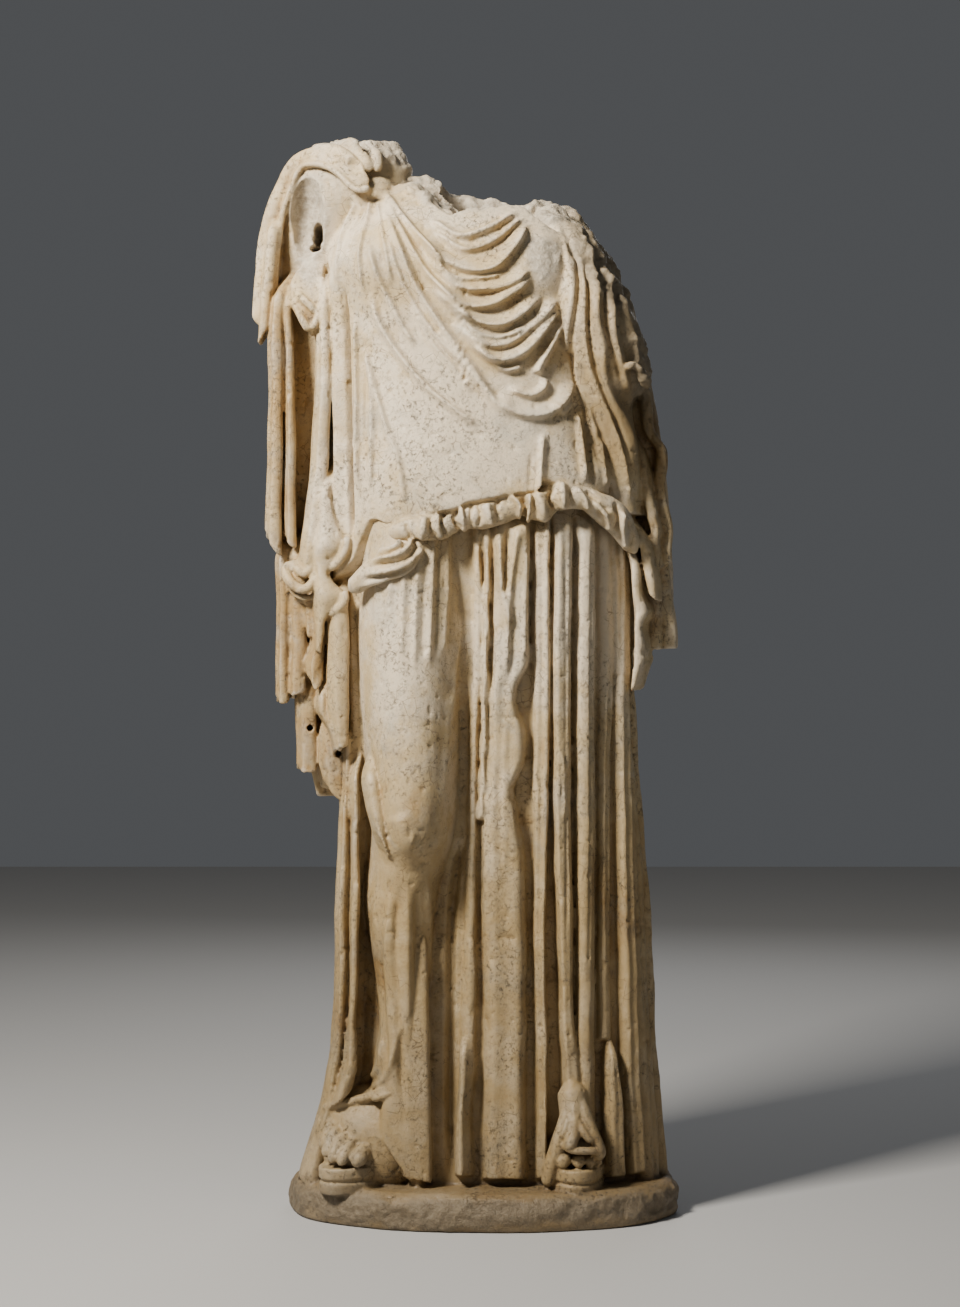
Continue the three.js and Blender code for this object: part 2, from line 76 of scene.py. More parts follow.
def curve(rows, at):
    """A smooth curve through rows whose first number is the place along it."""
    rows = np.asarray(rows, float)
    knots, values = rows[:, 0], rows[:, 1:]
    at = np.clip(np.asarray(at, float), knots[0], knots[-1])
    slopes = np.gradient(values, knots, axis=0)
    i = np.clip(np.searchsorted(knots, at) - 1, 0, len(knots) - 2)
    h = (knots[i + 1] - knots[i])[:, None]
    t = ((at - knots[i])[:, None]) / h
    rise = (t**3 - 2 * t**2 + t) * h * slopes[i] + (t**3 - t**2) * h * slopes[i + 1]
    return (2 * t**3 - 3 * t**2 + 1) * values[i] + (3 * t**2 - 2 * t**3) * values[i + 1] + rise


def through(points, steps):
    """A smooth path through points, as that many places along it."""
    points = np.asarray(points, float)
    k = np.arange(len(points))
    rows = np.column_stack([k, points])
    return curve(rows, np.linspace(0, k[-1], steps))


def rounded(angle, power):
    """The place on a unit rounded rectangle at that angle from its front, seen from above."""
    s, c = np.sin(angle), -np.cos(angle)
    return np.sign(s) * abs(s) ** (2 / power), np.sign(c) * abs(c) ** (2 / power)


def outline(n, power):
    """A unit rounded rectangle of n points from its front, anticlockwise from above."""
    return rounded(np.linspace(0, 2 * math.pi, n, endpoint=False), power)


def ease(low, high, value):
    """0 at low and 1 at high, whichever is the larger, with a soft change between them."""
    t = np.clip((value - low) / (high - low), 0, 1)
    return t * t * (3 - 2 * t)


# ------------------------------------------------------------------ closed shapes


def closed(rings):
    """A closed shape through rings of points (rings, points, 3): its points and faces."""
    m, n = rings.shape[:2]
    i = np.arange(m - 1)[:, None] * n
    j = np.arange(n)[None, :]
    k = (j + 1) % n
    walls = np.stack([i + j, i + k, i + n + k, i + n + j], -1).reshape(-1, 4).tolist()
    low, top = m * n, m * n + 1
    j, k = j[0], k[0]
    ends = np.stack([np.full(n, low), k, j], -1).tolist()
    ends += np.stack([np.full(n, top), (m - 1) * n + j, (m - 1) * n + k], -1).tolist()
    points = np.vstack([rings.reshape(-1, 3), rings[0].mean(0), rings[-1].mean(0)])
    return points, walls + ends


def rings_of(rows, power, n, z):
    """Rings of a body given by rows of height, left, right, front and back."""
    u, v = outline(n, power)
    z = np.broadcast_to(z[:, None], (len(z), n)) if z.ndim == 1 else z
    left, right, front, back = np.moveaxis(curve(rows, z.ravel()).reshape(z.shape + (4,)), -1, 0)
    y = np.where(v < 0, -v * front, v * back)
    return np.stack([(left + right) / 2 + (right - left) / 2 * u, y, z], -1)


def on_body(rows, power, angle, z):
    """The x and y of a body's surface at a height, and at an angle from its front."""
    left, right, front, back = curve(rows, np.array([float(z)]))[0]
    u, v = rounded(angle, power)
    return (left + right) / 2 + u * (right - left) / 2, v * (back if v > 0 else -front)


def normals_of(rings):
    """The way that each ring point faces."""
    across = np.roll(rings, -1, 1) - np.roll(rings, 1, 1)
    normal = np.cross(across, np.gradient(rings, axis=0))
    return normal / (np.linalg.norm(normal, axis=-1, keepdims=True) + 1e-9)


FOLD_RINGS, FOLD_POINTS = 60, 22
CUT_END, ROOT = 60.0, 100.0  # the heights over which a fold's lower and upper ends change, in mm
FLUTED_OVER = 70.0  # a fold deeper than this is fluted down its sides
FLUTE, HEM_WAVE = 3.0, 8.0  # how deep the flutes and the hem's waves are
LONG_FOLD_POWER = 2.6  # how square the long plain folds are


def fold(rows, slant=0.0, point=0.0, sway=0.9, power=3.0, sink=0.0, deep=0.0, turn=0.0):
    """A hanging fold: rows of height, x, y, width, depth and turn in degrees, from the bottom.

    Rows that stop at the width take the depth and turn given for the whole fold. Its lower end is
    cut at a slant or to a point, it sways a little, and where it sinks, its upper end narrows and
    runs back into the cloth behind it. A deep one is fluted down its sides, and its hem rises in
    waves behind its front edge.
    """
    rows = np.array([(*row, deep, turn)[:6] for row in rows], float)
    z = np.linspace(rows[0, 0], rows[-1, 0], FOLD_RINGS)
    x, y, width, depth, turn = curve(rows, z).T[:, :, None]
    u, v = outline(FOLD_POINTS, power)
    u, v, turn = u * width / 2, v * depth / 2, np.radians(turn)
    seed = rows[0, 0] * 0.37 + rows[0, 1] * 0.11  # each fold sways in its own way
    drift = sway * (np.sin(z / 61 + seed) + 0.6 * np.sin(z / 23 + 2.1 * seed))[:, None]
    behind = (depth > FLUTED_OVER) * (v + depth / 2)  # how far behind its front edge
    drop = slant * u + point * abs(u) + HEM_WAVE * (1 - np.cos(behind / 9))
    drop = np.clip(1 - (z - z[0]) / CUT_END, 0, 1)[:, None] * drop
    fade = ease(z[-1] - ROOT, z[-1], z)[:, None] * (sink != 0)
    u, v, x = u * (1 - 0.75 * fade), v * (1 - 0.75 * fade), x * (1 - 0.1 * fade)
    ring = [x + drift + FLUTE * np.sin(behind / 5) + u * np.cos(turn) - v * np.sin(turn)]
    ring += [y + sink * fade + u * np.sin(turn) + v * np.cos(turn), z[:, None] + drop]
    return closed(np.stack(np.broadcast_arrays(*ring), -1))


def roll_rings(points, radius, flat=1.0, steps=0, around=24):
    """Rings round a path of points; the radius may vary, and flat is its depth to its width."""
    points = np.asarray(points, float)
    length = np.linalg.norm(np.diff(points, axis=0), axis=1).sum()
    steps = steps or max(int(length / 4), 6)  # a ring every 4 mm
    path = through(points, steps)
    radius = through(np.broadcast_to(np.reshape(radius, (-1, 1)), (len(points), 1)), steps)
    along = np.gradient(path, axis=0)
    along /= np.linalg.norm(along, axis=1, keepdims=True)
    out = np.array([0, -1.0, 0]) + along * along[:, 1:2]
    out /= np.linalg.norm(out, axis=1, keepdims=True)
    side = np.cross(along, out)
    a = np.linspace(0, 2 * math.pi, around, endpoint=False)
    s = np.concatenate([[0], np.cumsum(np.linalg.norm(np.diff(path, axis=0), axis=1))])[:, None]
    size = radius * np.sqrt(np.clip(np.minimum(s, s[-1] - s) / radius, 0.02, 1))  # round ends
    ring = path[:, None] + (size * np.cos(a) * flat)[..., None] * out[:, None]
    return ring + (size * np.sin(a))[..., None] * side[:, None]


def roll(points, radius, flat=1.0):
    """A roll of cloth along points."""
    return closed(roll_rings(points, radius, flat))


# ------------------------------------------------------------------ strokes in the cloth

STROKE_END = 0.16  # the share of its length over which a stroke dies away at each end
PLEAT_FOOT, PLEAT_HEAD = 7.0, 55.0  # the heights over which a pleat starts and dies away, in mm


def strokes_at(x, z, strokes):
    """How far the strokes stand proud at (x, z).

    Each has a height, its width to the left and right of the way it runs, and its points of x
    and z. Where strokes cross, they add up.
    """
    total = np.zeros_like(x)
    for height, left, right, *points in strokes:
        path = through(points, 8 * len(points))
        reach = max(left, right)
        low, high = path.min(0) - reach, path.max(0) + reach
        near = (x > low[0]) & (x < high[0]) & (z > low[1]) & (z < high[1])
        if not near.any():
            continue
        px, pz = x[near], z[near]
        best, side, along = np.full(px.shape, 1e9), np.zeros(px.shape), np.zeros(px.shape)
        for k, ((ax, az), (bx, bz)) in enumerate(zip(path[:-1], path[1:])):
            dx, dz = bx - ax, bz - az
            w = np.clip(((px - ax) * dx + (pz - az) * dz) / (dx * dx + dz * dz + 1e-9), 0, 1)
            ex, ez = px - ax - w * dx, pz - az - w * dz
            gap = np.hypot(ex, ez)
            closer = gap < best
            best = np.where(closer, gap, best)
            side = np.where(closer, dx * ez - dz * ex, side)
            along = np.where(closer, (k + w) / (len(path) - 1), along)
        q = np.clip(best / np.where(side > 0, left, right), 0, 1)
        crest = 0.65 * (1 - q) ** 1.35 + 0.35 * (1 - q * q) ** 2  # a rather sharp ridge
        total[near] += height * crest * ease(0, STROKE_END, along) * ease(0, STROKE_END, 1 - along)
    return total


def pleats_at(x, z, pleats):
    """How far flat-faced pleats stand proud at (x, z).

    Each has a height, how much higher its right edge is than its left, and rows of height, left
    edge and right edge. Where pleats overlap, the higher one shows.
    """
    total = np.zeros_like(x)
    for n, (height, lean, *edges) in enumerate(pleats):
        low, high = edges[0][0], edges[-1][0]
        near = (z > low) & (z < high)
        zn = z[near]
        left, right = curve(edges, zn).T
        sway = 0.7 * np.sin(zn / 47 + 2.1 * n) + 0.4 * np.sin(zn / 19 + 1.3 * n)
        q = (2 * (x[near] - sway) - left - right) / (right - left)
        face = np.clip(1 - abs(q) ** 4, 0, 1) ** 0.55 * (1 + lean * q)
        face += 0.06 * np.cos(5 * q + n) * (abs(q) < 0.8)
        ends = ease(low, low + PLEAT_FOOT, zn) * ease(high, high - PLEAT_HEAD, zn)
        total[near] = np.maximum(total[near], height * face * ends)
    return total


def carved(rings, strokes, swellings=(), pleats=()):
    """A closed shape from rings, with strokes, pleats and swellings on all that faces forward."""
    normal = normals_of(rings)
    x, z = rings[..., 0], rings[..., 2]
    out = strokes_at(x.ravel(), z.ravel(), strokes) + pleats_at(x.ravel(), z.ravel(), pleats)
    out = out.reshape(x.shape) * ease(-0.4, 0.2, -normal[..., 1])
    for sx, sz, wide, tall, height in swellings:
        soft = np.exp(-(((x - sx) / wide) ** 2) - ((z - sz) / tall) ** 2)
        out += height * soft * ease(0.05, 0.5, -normal[..., 1])
    return closed(rings + normal * out[..., None])


# ------------------------------------------------------------------ the bodies under the cloth

# How square each one's outline is: 2 is an ellipse.
SKIRT_POWER, LEG_POWER, CHEST_POWER, MANTLE_POWER, ARM_POWER = 2.6, 2.2, 2.5, 2.6, 2.4

# Rows of height, then how far each body reaches to the left, right, front and back.
SKIRT = [
    [30, -228, 300, -122, 150],
    [300, -200, 282, -112, 140],
    [600, -194, 268, -112, 128],
    [900, -190, 246, -116, 118],
    [1160, -200, 236, -122, 112],
]
LEG = [
    [52, -104, -60, -148, 40],
    [120, -112, -60, -150, 40],
    [170, -150, -60, -152, 40],
    [240, -162, -60, -154, 40],
    [300, -152, -61, -156, 40],
    [380, -152, -58, -160, 40],
    [460, -168, -48, -164, 40],
    [510, -174, -38, -165, 40],
    [545, -172, -31, -169, 40],
    [575, -168, -23, -180, 40],
    [604, -165, -17, -194, 40],
    [640, -163, -11, -205, 40],
    [720, -171, -5, -204, 40],
    [850, -182, -1, -194, 40],
    [980, -188, 2, -176, 40],
    [1140, -190, 6, -150, 40],
]
CHEST = [
    [980, -238, 272, -166, 120],
    [1080, -236, 270, -164, 122],
    [1180, -233, 258, -162, 120],
    [1280, -231, 240, -154, 116],
    [1380, -229, 212, -152, 114],
    [1460, -228, 196, -156, 114],
    [1540, -226, 190, -154, 110],
    [1600, -214, 186, -132, 102],
    [1645, -196, 170, -100, 92],
    [1690, -150, 120, -60, 70],
]
MANTLE = [
    [676, -250, -160, 0, 116],
    [760, -270, -90, -20, 126],
    [860, -286, 60, -24, 134],
    [920, -297, 290, -24, 139],
    [930, -298, 312, -24, 140],
    [940, -299, 313, -24, 140],
    [1060, -310, 322, -26, 142],
    [1200, -318, 306, -28, 142],
    [1320, -320, 288, -28, 140],
    [1430, -328, 282, -32, 136],
    [1530, -328, 252, -36, 130],
    [1600, -320, 206, -40, 116],
    [1650, -308, 150, -40, 96],
    [1690, -292, -60, -38, 78],
]
SHOULDER_BLOCK = [
    [1500, -300, -150, -20, 100],
    [1600, -314, -110, -52, 96],
    [1650, -308, -100, -72, 88],
    [1690, -292, -94, -70, 76],
    [1720, -268, -99, -58, 64],
    [1738, -246, -112, -46, 54],
    [1750, -226, -128, -30, 40],
]
ARM = [
    [1136, 222, 287, -78, 60],
    [1180, 206, 284, -92, 70],
    [1240, 190, 281, -104, 80],
    [1290, 172, 270, -110, 90],
    [1325, 156, 272, -116, 96],
    [1345, 148, 292, -122, 100],
    [1400, 126, 293, -138, 104],
    [1450, 104, 278, -146, 104],
    [1500, 96, 252, -140, 100],
    [1550, 92, 222, -124, 94],
    [1590, 92, 204, -104, 84],
    [1622, 100, 170, -78, 64],
    [1640, 112, 150, -48, 44],
]


def body(rows, power, n, m, strokes=(), pleats=()):
    """A body from its rows, as m rings of n points, with what is carved into its front."""
    z = np.linspace(rows[0][0], rows[-1][0], m)
    return carved(rings_of(rows, power, n, z), strokes, pleats=pleats)


# Strokes, here and below: height, width to the left and right, then points of x and z.
LEG_FOLDS = [
    # fine folds that run down her thigh, and the grooves between them
    [5, 6, 7, (-12, 1120), (-14, 1000), (-22, 900), (-30, 800)],
    [5, 6, 7, (-34, 1120), (-36, 1000), (-42, 900)],
    [5, 7, 7, (-56, 1120), (-60, 1000), (-64, 880)],
    [4, 7, 7, (-78, 1110), (-84, 980), (-86, 880)],
    [4, 7, 7, (-100, 1100), (-104, 980), (-107, 900)],
    [4, 7, 7, (-122, 1090), (-126, 960)],
    [4, 7, 7, (-144, 1070), (-148, 940)],
    [-4, 4, 4, (-23, 1120), (-26, 1000), (-32, 900)],
    [-4, 4, 4, (-45, 1120), (-49, 1000), (-52, 900)],
    [-3, 4, 4, (-67, 1110), (-71, 990), (-75, 900)],
    [4, 12, 10, (-30, 860), (-34, 760), (-44, 660)],
    # the knee, and the cloth drawn in under it
    [7, 26, 26, (-112, 660), (-100, 620), (-84, 612)],
    [-4, 30, 20, (-130, 590), (-108, 570), (-84, 566), (-62, 590)],
    # down the shin
    [5, 14, 10, (-96, 560), (-98, 440), (-96, 300), (-92, 160)],
    [6, 10, 8, (-66, 570), (-66, 440), (-66, 300), (-66, 80)],
    [-4, 8, 8, (-82, 540), (-82, 440), (-80, 300), (-82, 140)],
    [5, 10, 8, (-124, 540), (-130, 430), (-124, 310), (-118, 220)],
    [-5, 8, 8, (-112, 540), (-116, 430), (-110, 300), (-106, 200)],
    [4, 9, 9, (-146, 540), (-150, 440), (-138, 320), (-136, 240)],
    [6, 7, 12, (-108, 330), (-118, 270), (-140, 222), (-166, 202)],
    [6, 7, 10, (-132, 300), (-142, 250), (-158, 222)],
]
# The cloth's corner that hangs down her shin to the plinth, in rows as fold() takes them.
SHIN_HEM = [
    (HEM_LINE + 6, -82, -130, 46, 50, 0), (160, -83, -131, 46, 50, 0), (300, -84, -131, 42, 50, 0),
    (440, -85, -126, 36, 40, 0), (540, -87, -124, 26, 36, 0),
]


# ------------------------------------------------------------------ the skirt's pleats

# Height, how much higher the right edge is, then rows of height, left edge and right edge.
FRONT_PLEATS = [
    [16, 0.3, (240, -14, 10), (360, -12, 12), (500, -6, 12), (700, -1, 13), (900, 5, 21), (WAIST, 6, 22)],
    [34, -0.3, (HEM_LINE + 6, -20, 9), (180, -18, 5), (220, -17, 9), (284, -14, 10), (320, -6, 10)],
    [23, 0.1, (640, 14, 24), (950, 22, 34), (WAIST, 23, 34)],
    [30, 0.08, (HEM_LINE, 22, 92), (300, 24, 92), (500, 22, 92), (600, 22, 88), (650, 22, 78),
     (700, 23, 73), (735, 25, 90), (760, 26, 93), (800, 28, 87), (815, 29, 81), (866, 33, 82),
     (885, 34, 93), (950, 36, 95), (1040, 37, 97), (WAIST, 36, 100)],
    [24, 0.25, (HEM_LINE, 108, 126), (300, 106, 124), (500, 103, 122), (700, 102, 128), (900, 102, 128),
     (WAIST, 103, 128)],
    [32, -0.28, (190, 150, 186), (330, 145, 168), (500, 138, 166), (700, 132, 162), (900, 131, 162),
     (WAIST, 132, 163)],
    [29, -0.2, (90, 176, 204), (300, 170, 199), (500, 170, 200), (700, 168, 199), (900, 167, 197),
     (WAIST, 168, 197)],
    [15, 0.0, (285, 206, 226), (500, 205, 224), (700, 205, 224), (900, 206, 226), (WAIST, 204, 226)],
    [32, 0.1, (HEM_LINE, 214, 242), (200, 212, 236), (270, 216, 228), (310, 221, 227)],
    [24, 0.1, (HEM_LINE, 250, 274), (300, 240, 262), (500, 236, 256), (700, 230, 248), (900, 228, 242),
     (WAIST, 228, 242)],
]
SKIRT_FOLDS = [
    # narrow folds over the broad panel, and creases between the pleats
    [9, 6, 9, (47, 1120), (52, 1030), (62, 960), (58, 860)],
    [8, 9, 6, (78, 1120), (66, 1030), (62, 950)],
    [-10, 5, 5, (62, 1120), (57, 1050), (56, 1000)],
    [6, 10, 6, (92, 1110), (88, 960), (86, 900)],
    [6, 5, 9, (30, 1000), (27, 850), (26, 700), (26, 400)],
    [-4, 5, 5, (40, 940), (36, 800), (34, 640)],
    [3, 8, 8, (60, 820), (56, 700), (58, 540)],
    [-5, 3, 4, (147, 1120), (148, 900), (150, 700), (153, 420)],
    [-4, 4, 3, (183, 1120), (184, 900), (186, 640), (184, 330)],
    [-4, 3, 3, (115, 1120), (115, 800), (112, 500), (115, 200)],
    [4, 6, 4, (140, 760), (150, 700), (146, 640)],
    [-6, 7, 5, (158, 740), (152, 700), (156, 660)],
    [-4, 3, 3, (218, 900), (216, 640), (218, 400)],
    # the deep recess beside her free leg
    [-16, 10, 12, (-6, 620), (-22, 540), (-28, 440), (-30, 200), (-28, 40)],
]
SIDE_PLEATS = 27
FIRST_PLEAT, LAST_PLEAT = 62.0, 300.0  # they go round from her left to her right, in degrees
PLEAT_WIDE, PLEAT_PROUD, PLEAT_DEEP = 28.0, 20.0, 60.0  # what shows of one, and its whole depth


def side_pleats():
    """The pleats round the sides and back, each straight out from the skirt's body."""
    for k in range(SIDE_PLEATS):
        angle = math.radians(FIRST_PLEAT + (LAST_PLEAT - FIRST_PLEAT) * (k + 0.5) / SIDE_PLEATS)
        wide, proud, drift = (1 + 0.18 * math.sin(s * k) for s in (2.4, 3.7, 1.9))
        rows = []
        for z in (FLOOR, 250, 500, 780, 1000, WAIST):
            turn = angle + 0.02 * (drift - 1) * (z / 100 - 6)
            x, y = on_body(SKIRT, SKIRT_POWER, turn, z)
            next_x, next_y = on_body(SKIRT, SKIRT_POWER, turn + 0.02, z)
            out = Vector((next_y - y, x - next_x)).normalized()
            flare = 1.2 - 0.35 * z / WAIST  # fuller towards the hem
            reach = PLEAT_PROUD * proud * flare - PLEAT_DEEP / 2
            facing = math.degrees(math.atan2(out.x, -out.y))
            width = PLEAT_WIDE * wide * flare
            rows.append((z, x + out.x * reach, y + out.y * reach, width, PLEAT_DEEP, facing))
        yield fold(rows, power=LONG_FOLD_POWER, sway=1.3)


# ------------------------------------------------------------------ the overfold and the chest

# The overfold's stepped hem and its broken upper edge across the front: x and height.
HEM = [
    (-240, 1010), (-205, 1040), (-186, 1062), (-172, 1100), (-160, 1124), (-150, 1126), (-130, 1118),
    (-100, 1122), (-60, 1134), (-20, 1142), (0, 1152), (60, 1163), (118, 1172), (124, 1190),
    (134, 1188), (170, 1176), (200, 1172), (232, 1168), (238, 1190), (244, 1160), (286, 1134),
]
BROKEN_EDGE = [
    (-240, 1660), (-120, 1676), (-80, 1664), (-56, 1646), (-30, 1624), (-6, 1612), (30, 1624),
    (60, 1628), (90, 1626), (110, 1632), (150, 1630), (180, 1600), (240, 1560),
]
HEM_BEHIND = 1040.0  # the hem's height round the back
# Swellings: x and height of the middle, half width, half height and how far they stand out.
BREASTS = [(-152, 1545, 58, 66, 24), (128, 1530, 52, 62, 20), (-60, 1230, 120, 110, 6)]

CHEST_FOLDS = [
    # hanging between the two shoulders: a full upper side and a sharp lower edge
    [10, 12, 6, (-66, 1606), (-16, 1574), (34, 1588), (80, 1618)],
    [10, 12, 6, (-58, 1584), (-8, 1552), (42, 1568), (92, 1612)],
    [17, 18, 7, (-82, 1580), (-42, 1536), (6, 1518), (45, 1526), (76, 1562), (94, 1600)],
    [7, 9, 5, (-76, 1562), (-30, 1512), (14, 1506), (60, 1514)],
    [14, 16, 7, (-78, 1550), (-20, 1496), (30, 1490), (66, 1500), (98, 1524)],
    [16, 17, 6, (-72, 1522), (-12, 1468), (30, 1463), (68, 1484), (100, 1512)],
    [18, 19, 7, (-68, 1502), (-14, 1452), (36, 1433), (74, 1444), (116, 1484)],
    [8, 10, 5, (-40, 1466), (10, 1424), (50, 1414), (90, 1430)],
    [13, 17, 8, (-34, 1442), (20, 1405), (62, 1404), (102, 1436), (144, 1486)],
    [20, 20, 8, (-14, 1422), (34, 1380), (74, 1382), (110, 1416), (150, 1484)],
    [9, 12, 6, (10, 1398), (54, 1362), (88, 1368)],
    [16, 12, 8, (150, 1456), (130, 1406), (111, 1369), (107, 1356)],
    [9, 14, 6, (58, 1332), (96, 1321), (118, 1332), (124, 1352)],
    [14, 20, 7, (40, 1324), (72, 1294), (116, 1289), (150, 1310), (170, 1352)],
    [6, 10, 6, (130, 1310), (150, 1296), (170, 1320)],
    # the bundle that falls from the clasp across the body
    [9, 8, 11, (-138, 1664), (-106, 1610), (-66, 1560), (-36, 1520)],
    [9, 8, 11, (-142, 1662), (-108, 1590), (-68, 1520), (-16, 1462), (8, 1440)],
    [14, 9, 12, (-150, 1660), (-114, 1575), (-82, 1494), (-38, 1425), (14, 1352), (44, 1308), (76, 1280)],
    [8, 8, 10, (-130, 1600), (-106, 1510), (-66, 1436), (-12, 1374), (34, 1316)],
    [6, 6, 9, (-100, 1480), (-60, 1410), (-20, 1360), (10, 1326)],
    [10, 7, 14, (-154, 1494), (-138, 1436), (-104, 1382), (-62, 1332), (-12, 1292), (22, 1269)],
    [7, 6, 10, (-150, 1560), (-134, 1500), (-108, 1440), (-82, 1400)],
    [7, 6, 12, (-170, 1410), (-152, 1350), (-136, 1294), (-124, 1256)],
    [5, 8, 14, (-130, 1276), (-110, 1215), (-100, 1140)],
    # short folds that spread from the clasp
    [7, 5, 6, (-158, 1652), (-157, 1600), (-162, 1540), (-160, 1480)],
    [8, 5, 7, (-172, 1655), (-190, 1600), (-198, 1550), (-201, 1500)],
    [9, 6, 7, (-182, 1655), (-207, 1608), (-220, 1560), (-225, 1500)],
    [7, 6, 7, (-148, 1645), (-128, 1560), (-118, 1500)],
    [-5, 4, 4, (-165, 1650), (-176, 1590), (-182, 1540)],
    # a little pleat over the hem
    [8, 15, 5, (117, 1264), (114, 1228), (112, 1192), (108, 1148)],
    [-3, 5, 5, (100, 1230), (98, 1200), (96, 1164)],
    # long upright folds at her right side
    [16, 7, 7, (-234, 1590), (-234, 1400), (-234, 1200), (-238, 1000)],
    [-14, 4, 5, (-223, 1580), (-223, 1400), (-224, 1200), (-230, 1040)],
    [13, 10, 12, (-209, 1590), (-209, 1400), (-207, 1200), (-212, 1000)],
    [-34, 6, 6, (-197, 1510), (-195, 1380), (-191, 1250), (-188, 1080)],
    [8, 6, 8, (-181, 1460), (-179, 1380), (-177, 1280), (-176, 1150)],
    [-5, 5, 5, (-168, 1420), (-165, 1330), (-164, 1230)],
    [6, 7, 8, (-156, 1360), (-153, 1280), (-156, 1160)],
    # and at her left, below the arm
    [8, 8, 8, (172, 1300), (180, 1240), (186, 1180)],
    [-6, 5, 5, (186, 1290), (194, 1230), (200, 1180)],
    [7, 7, 7, (206, 1260), (214, 1210), (220, 1176)],
]
ARM_FOLDS = [
    # long folds that run from her left shoulder down to the hem
    [5.5, 10, 12, (136, 1620), (154, 1560), (166, 1500), (160, 1440), (158, 1380)],
    [7.3, 11, 14, (166, 1400), (180, 1345), (194, 1290), (203, 1240), (212, 1170)],
    [-7.9, 6, 6, (146, 1600), (174, 1530), (173, 1470), (164, 1410), (171, 1355), (194, 1270), (210, 1185)],
    [5.5, 7, 9, (160, 1600), (184, 1530), (186, 1440), (196, 1372), (216, 1320), (236, 1270), (260, 1180)],
    [-10.4, 6, 6, (172, 1580), (190, 1500), (191, 1430), (200, 1374), (218, 1326), (238, 1280),
     (266, 1195)],
    [8.5, 13, 12, (166, 1632), (188, 1574), (202, 1507), (205, 1446), (215, 1400), (218, 1357), (233, 1313),
     (253, 1280), (266, 1236), (280, 1150)],
    [-6.7, 6, 6, (176, 1626), (198, 1568), (214, 1500), (222, 1430), (236, 1380), (250, 1330)],
    [6.1, 9, 9, (182, 1618), (205, 1573), (227, 1500), (232, 1428), (240, 1388), (254, 1345), (268, 1296)],
    [-5.5, 6, 6, (192, 1606), (212, 1562), (236, 1490), (250, 1410), (262, 1366)],
    [4.8, 9, 9, (198, 1600), (216, 1558), (244, 1490), (264, 1420), (274, 1360)],
    [-3.7, 5, 5, (254, 1480), (268, 1430), (280, 1386)],
    [3.7, 6, 6, (196, 1290), (222, 1220), (234, 1170)],
    [3, 6, 6, (238, 1280), (252, 1220), (262, 1156)],
]
CHEST_POINTS, CHEST_RINGS = 460, 300


def overfold():
    """The upper half of the robe, from its hem to the broken edge of the chest."""
    ring = rings_of(CHEST, CHEST_POWER, CHEST_POINTS, np.array([1120.0]))[0]
    front = ease(20, -40, ring[:, 1])
    hem = np.interp(ring[:, 0], *zip(*HEM)) * front + HEM_BEHIND * (1 - front)
    top = np.interp(ring[:, 0], *zip(*BROKEN_EDGE))
    z = hem + (top - hem) * np.linspace(0, 1, CHEST_RINGS)[:, None]
    chest = []
    for height, left, right, *points in CHEST_FOLDS:
        keen = 1.15 if height < 12 else 0.93  # fine folds are carved sharper than broad ones
        chest.append((keen * height, left / keen, right / keen, *points))
    return carved(rings_of(CHEST, CHEST_POWER, CHEST_POINTS, z), chest + ARM_FOLDS, BREASTS)


# The cloth pouched over the belt: x, y, height and radius along its path.
POUCH = [
    (-128, -142, 1102, 14), (-100, -156, 1107, 16), (-73, -158, 1110, 20),
    (-46, -153, 1112, 21), (-28, -150, 1118, 17), (-12, -149, 1128, 17), (4, -148, 1129, 20),
    (22, -147, 1131, 23), (40, -146, 1134, 21), (64, -145, 1142, 20), (80, -145, 1147, 18),
    (98, -144, 1147, 21), (114, -143, 1147, 24), (132, -140, 1157, 21), (150, -136, 1161, 21),
    (170, -132, 1160, 18), (190, -127, 1157, 18), (206, -121, 1148, 21), (222, -113, 1139, 24),
    (238, -104, 1126, 24), (252, -95, 1106, 20), (264, -86, 1084, 15), (270, -82, 1072, 12),
]
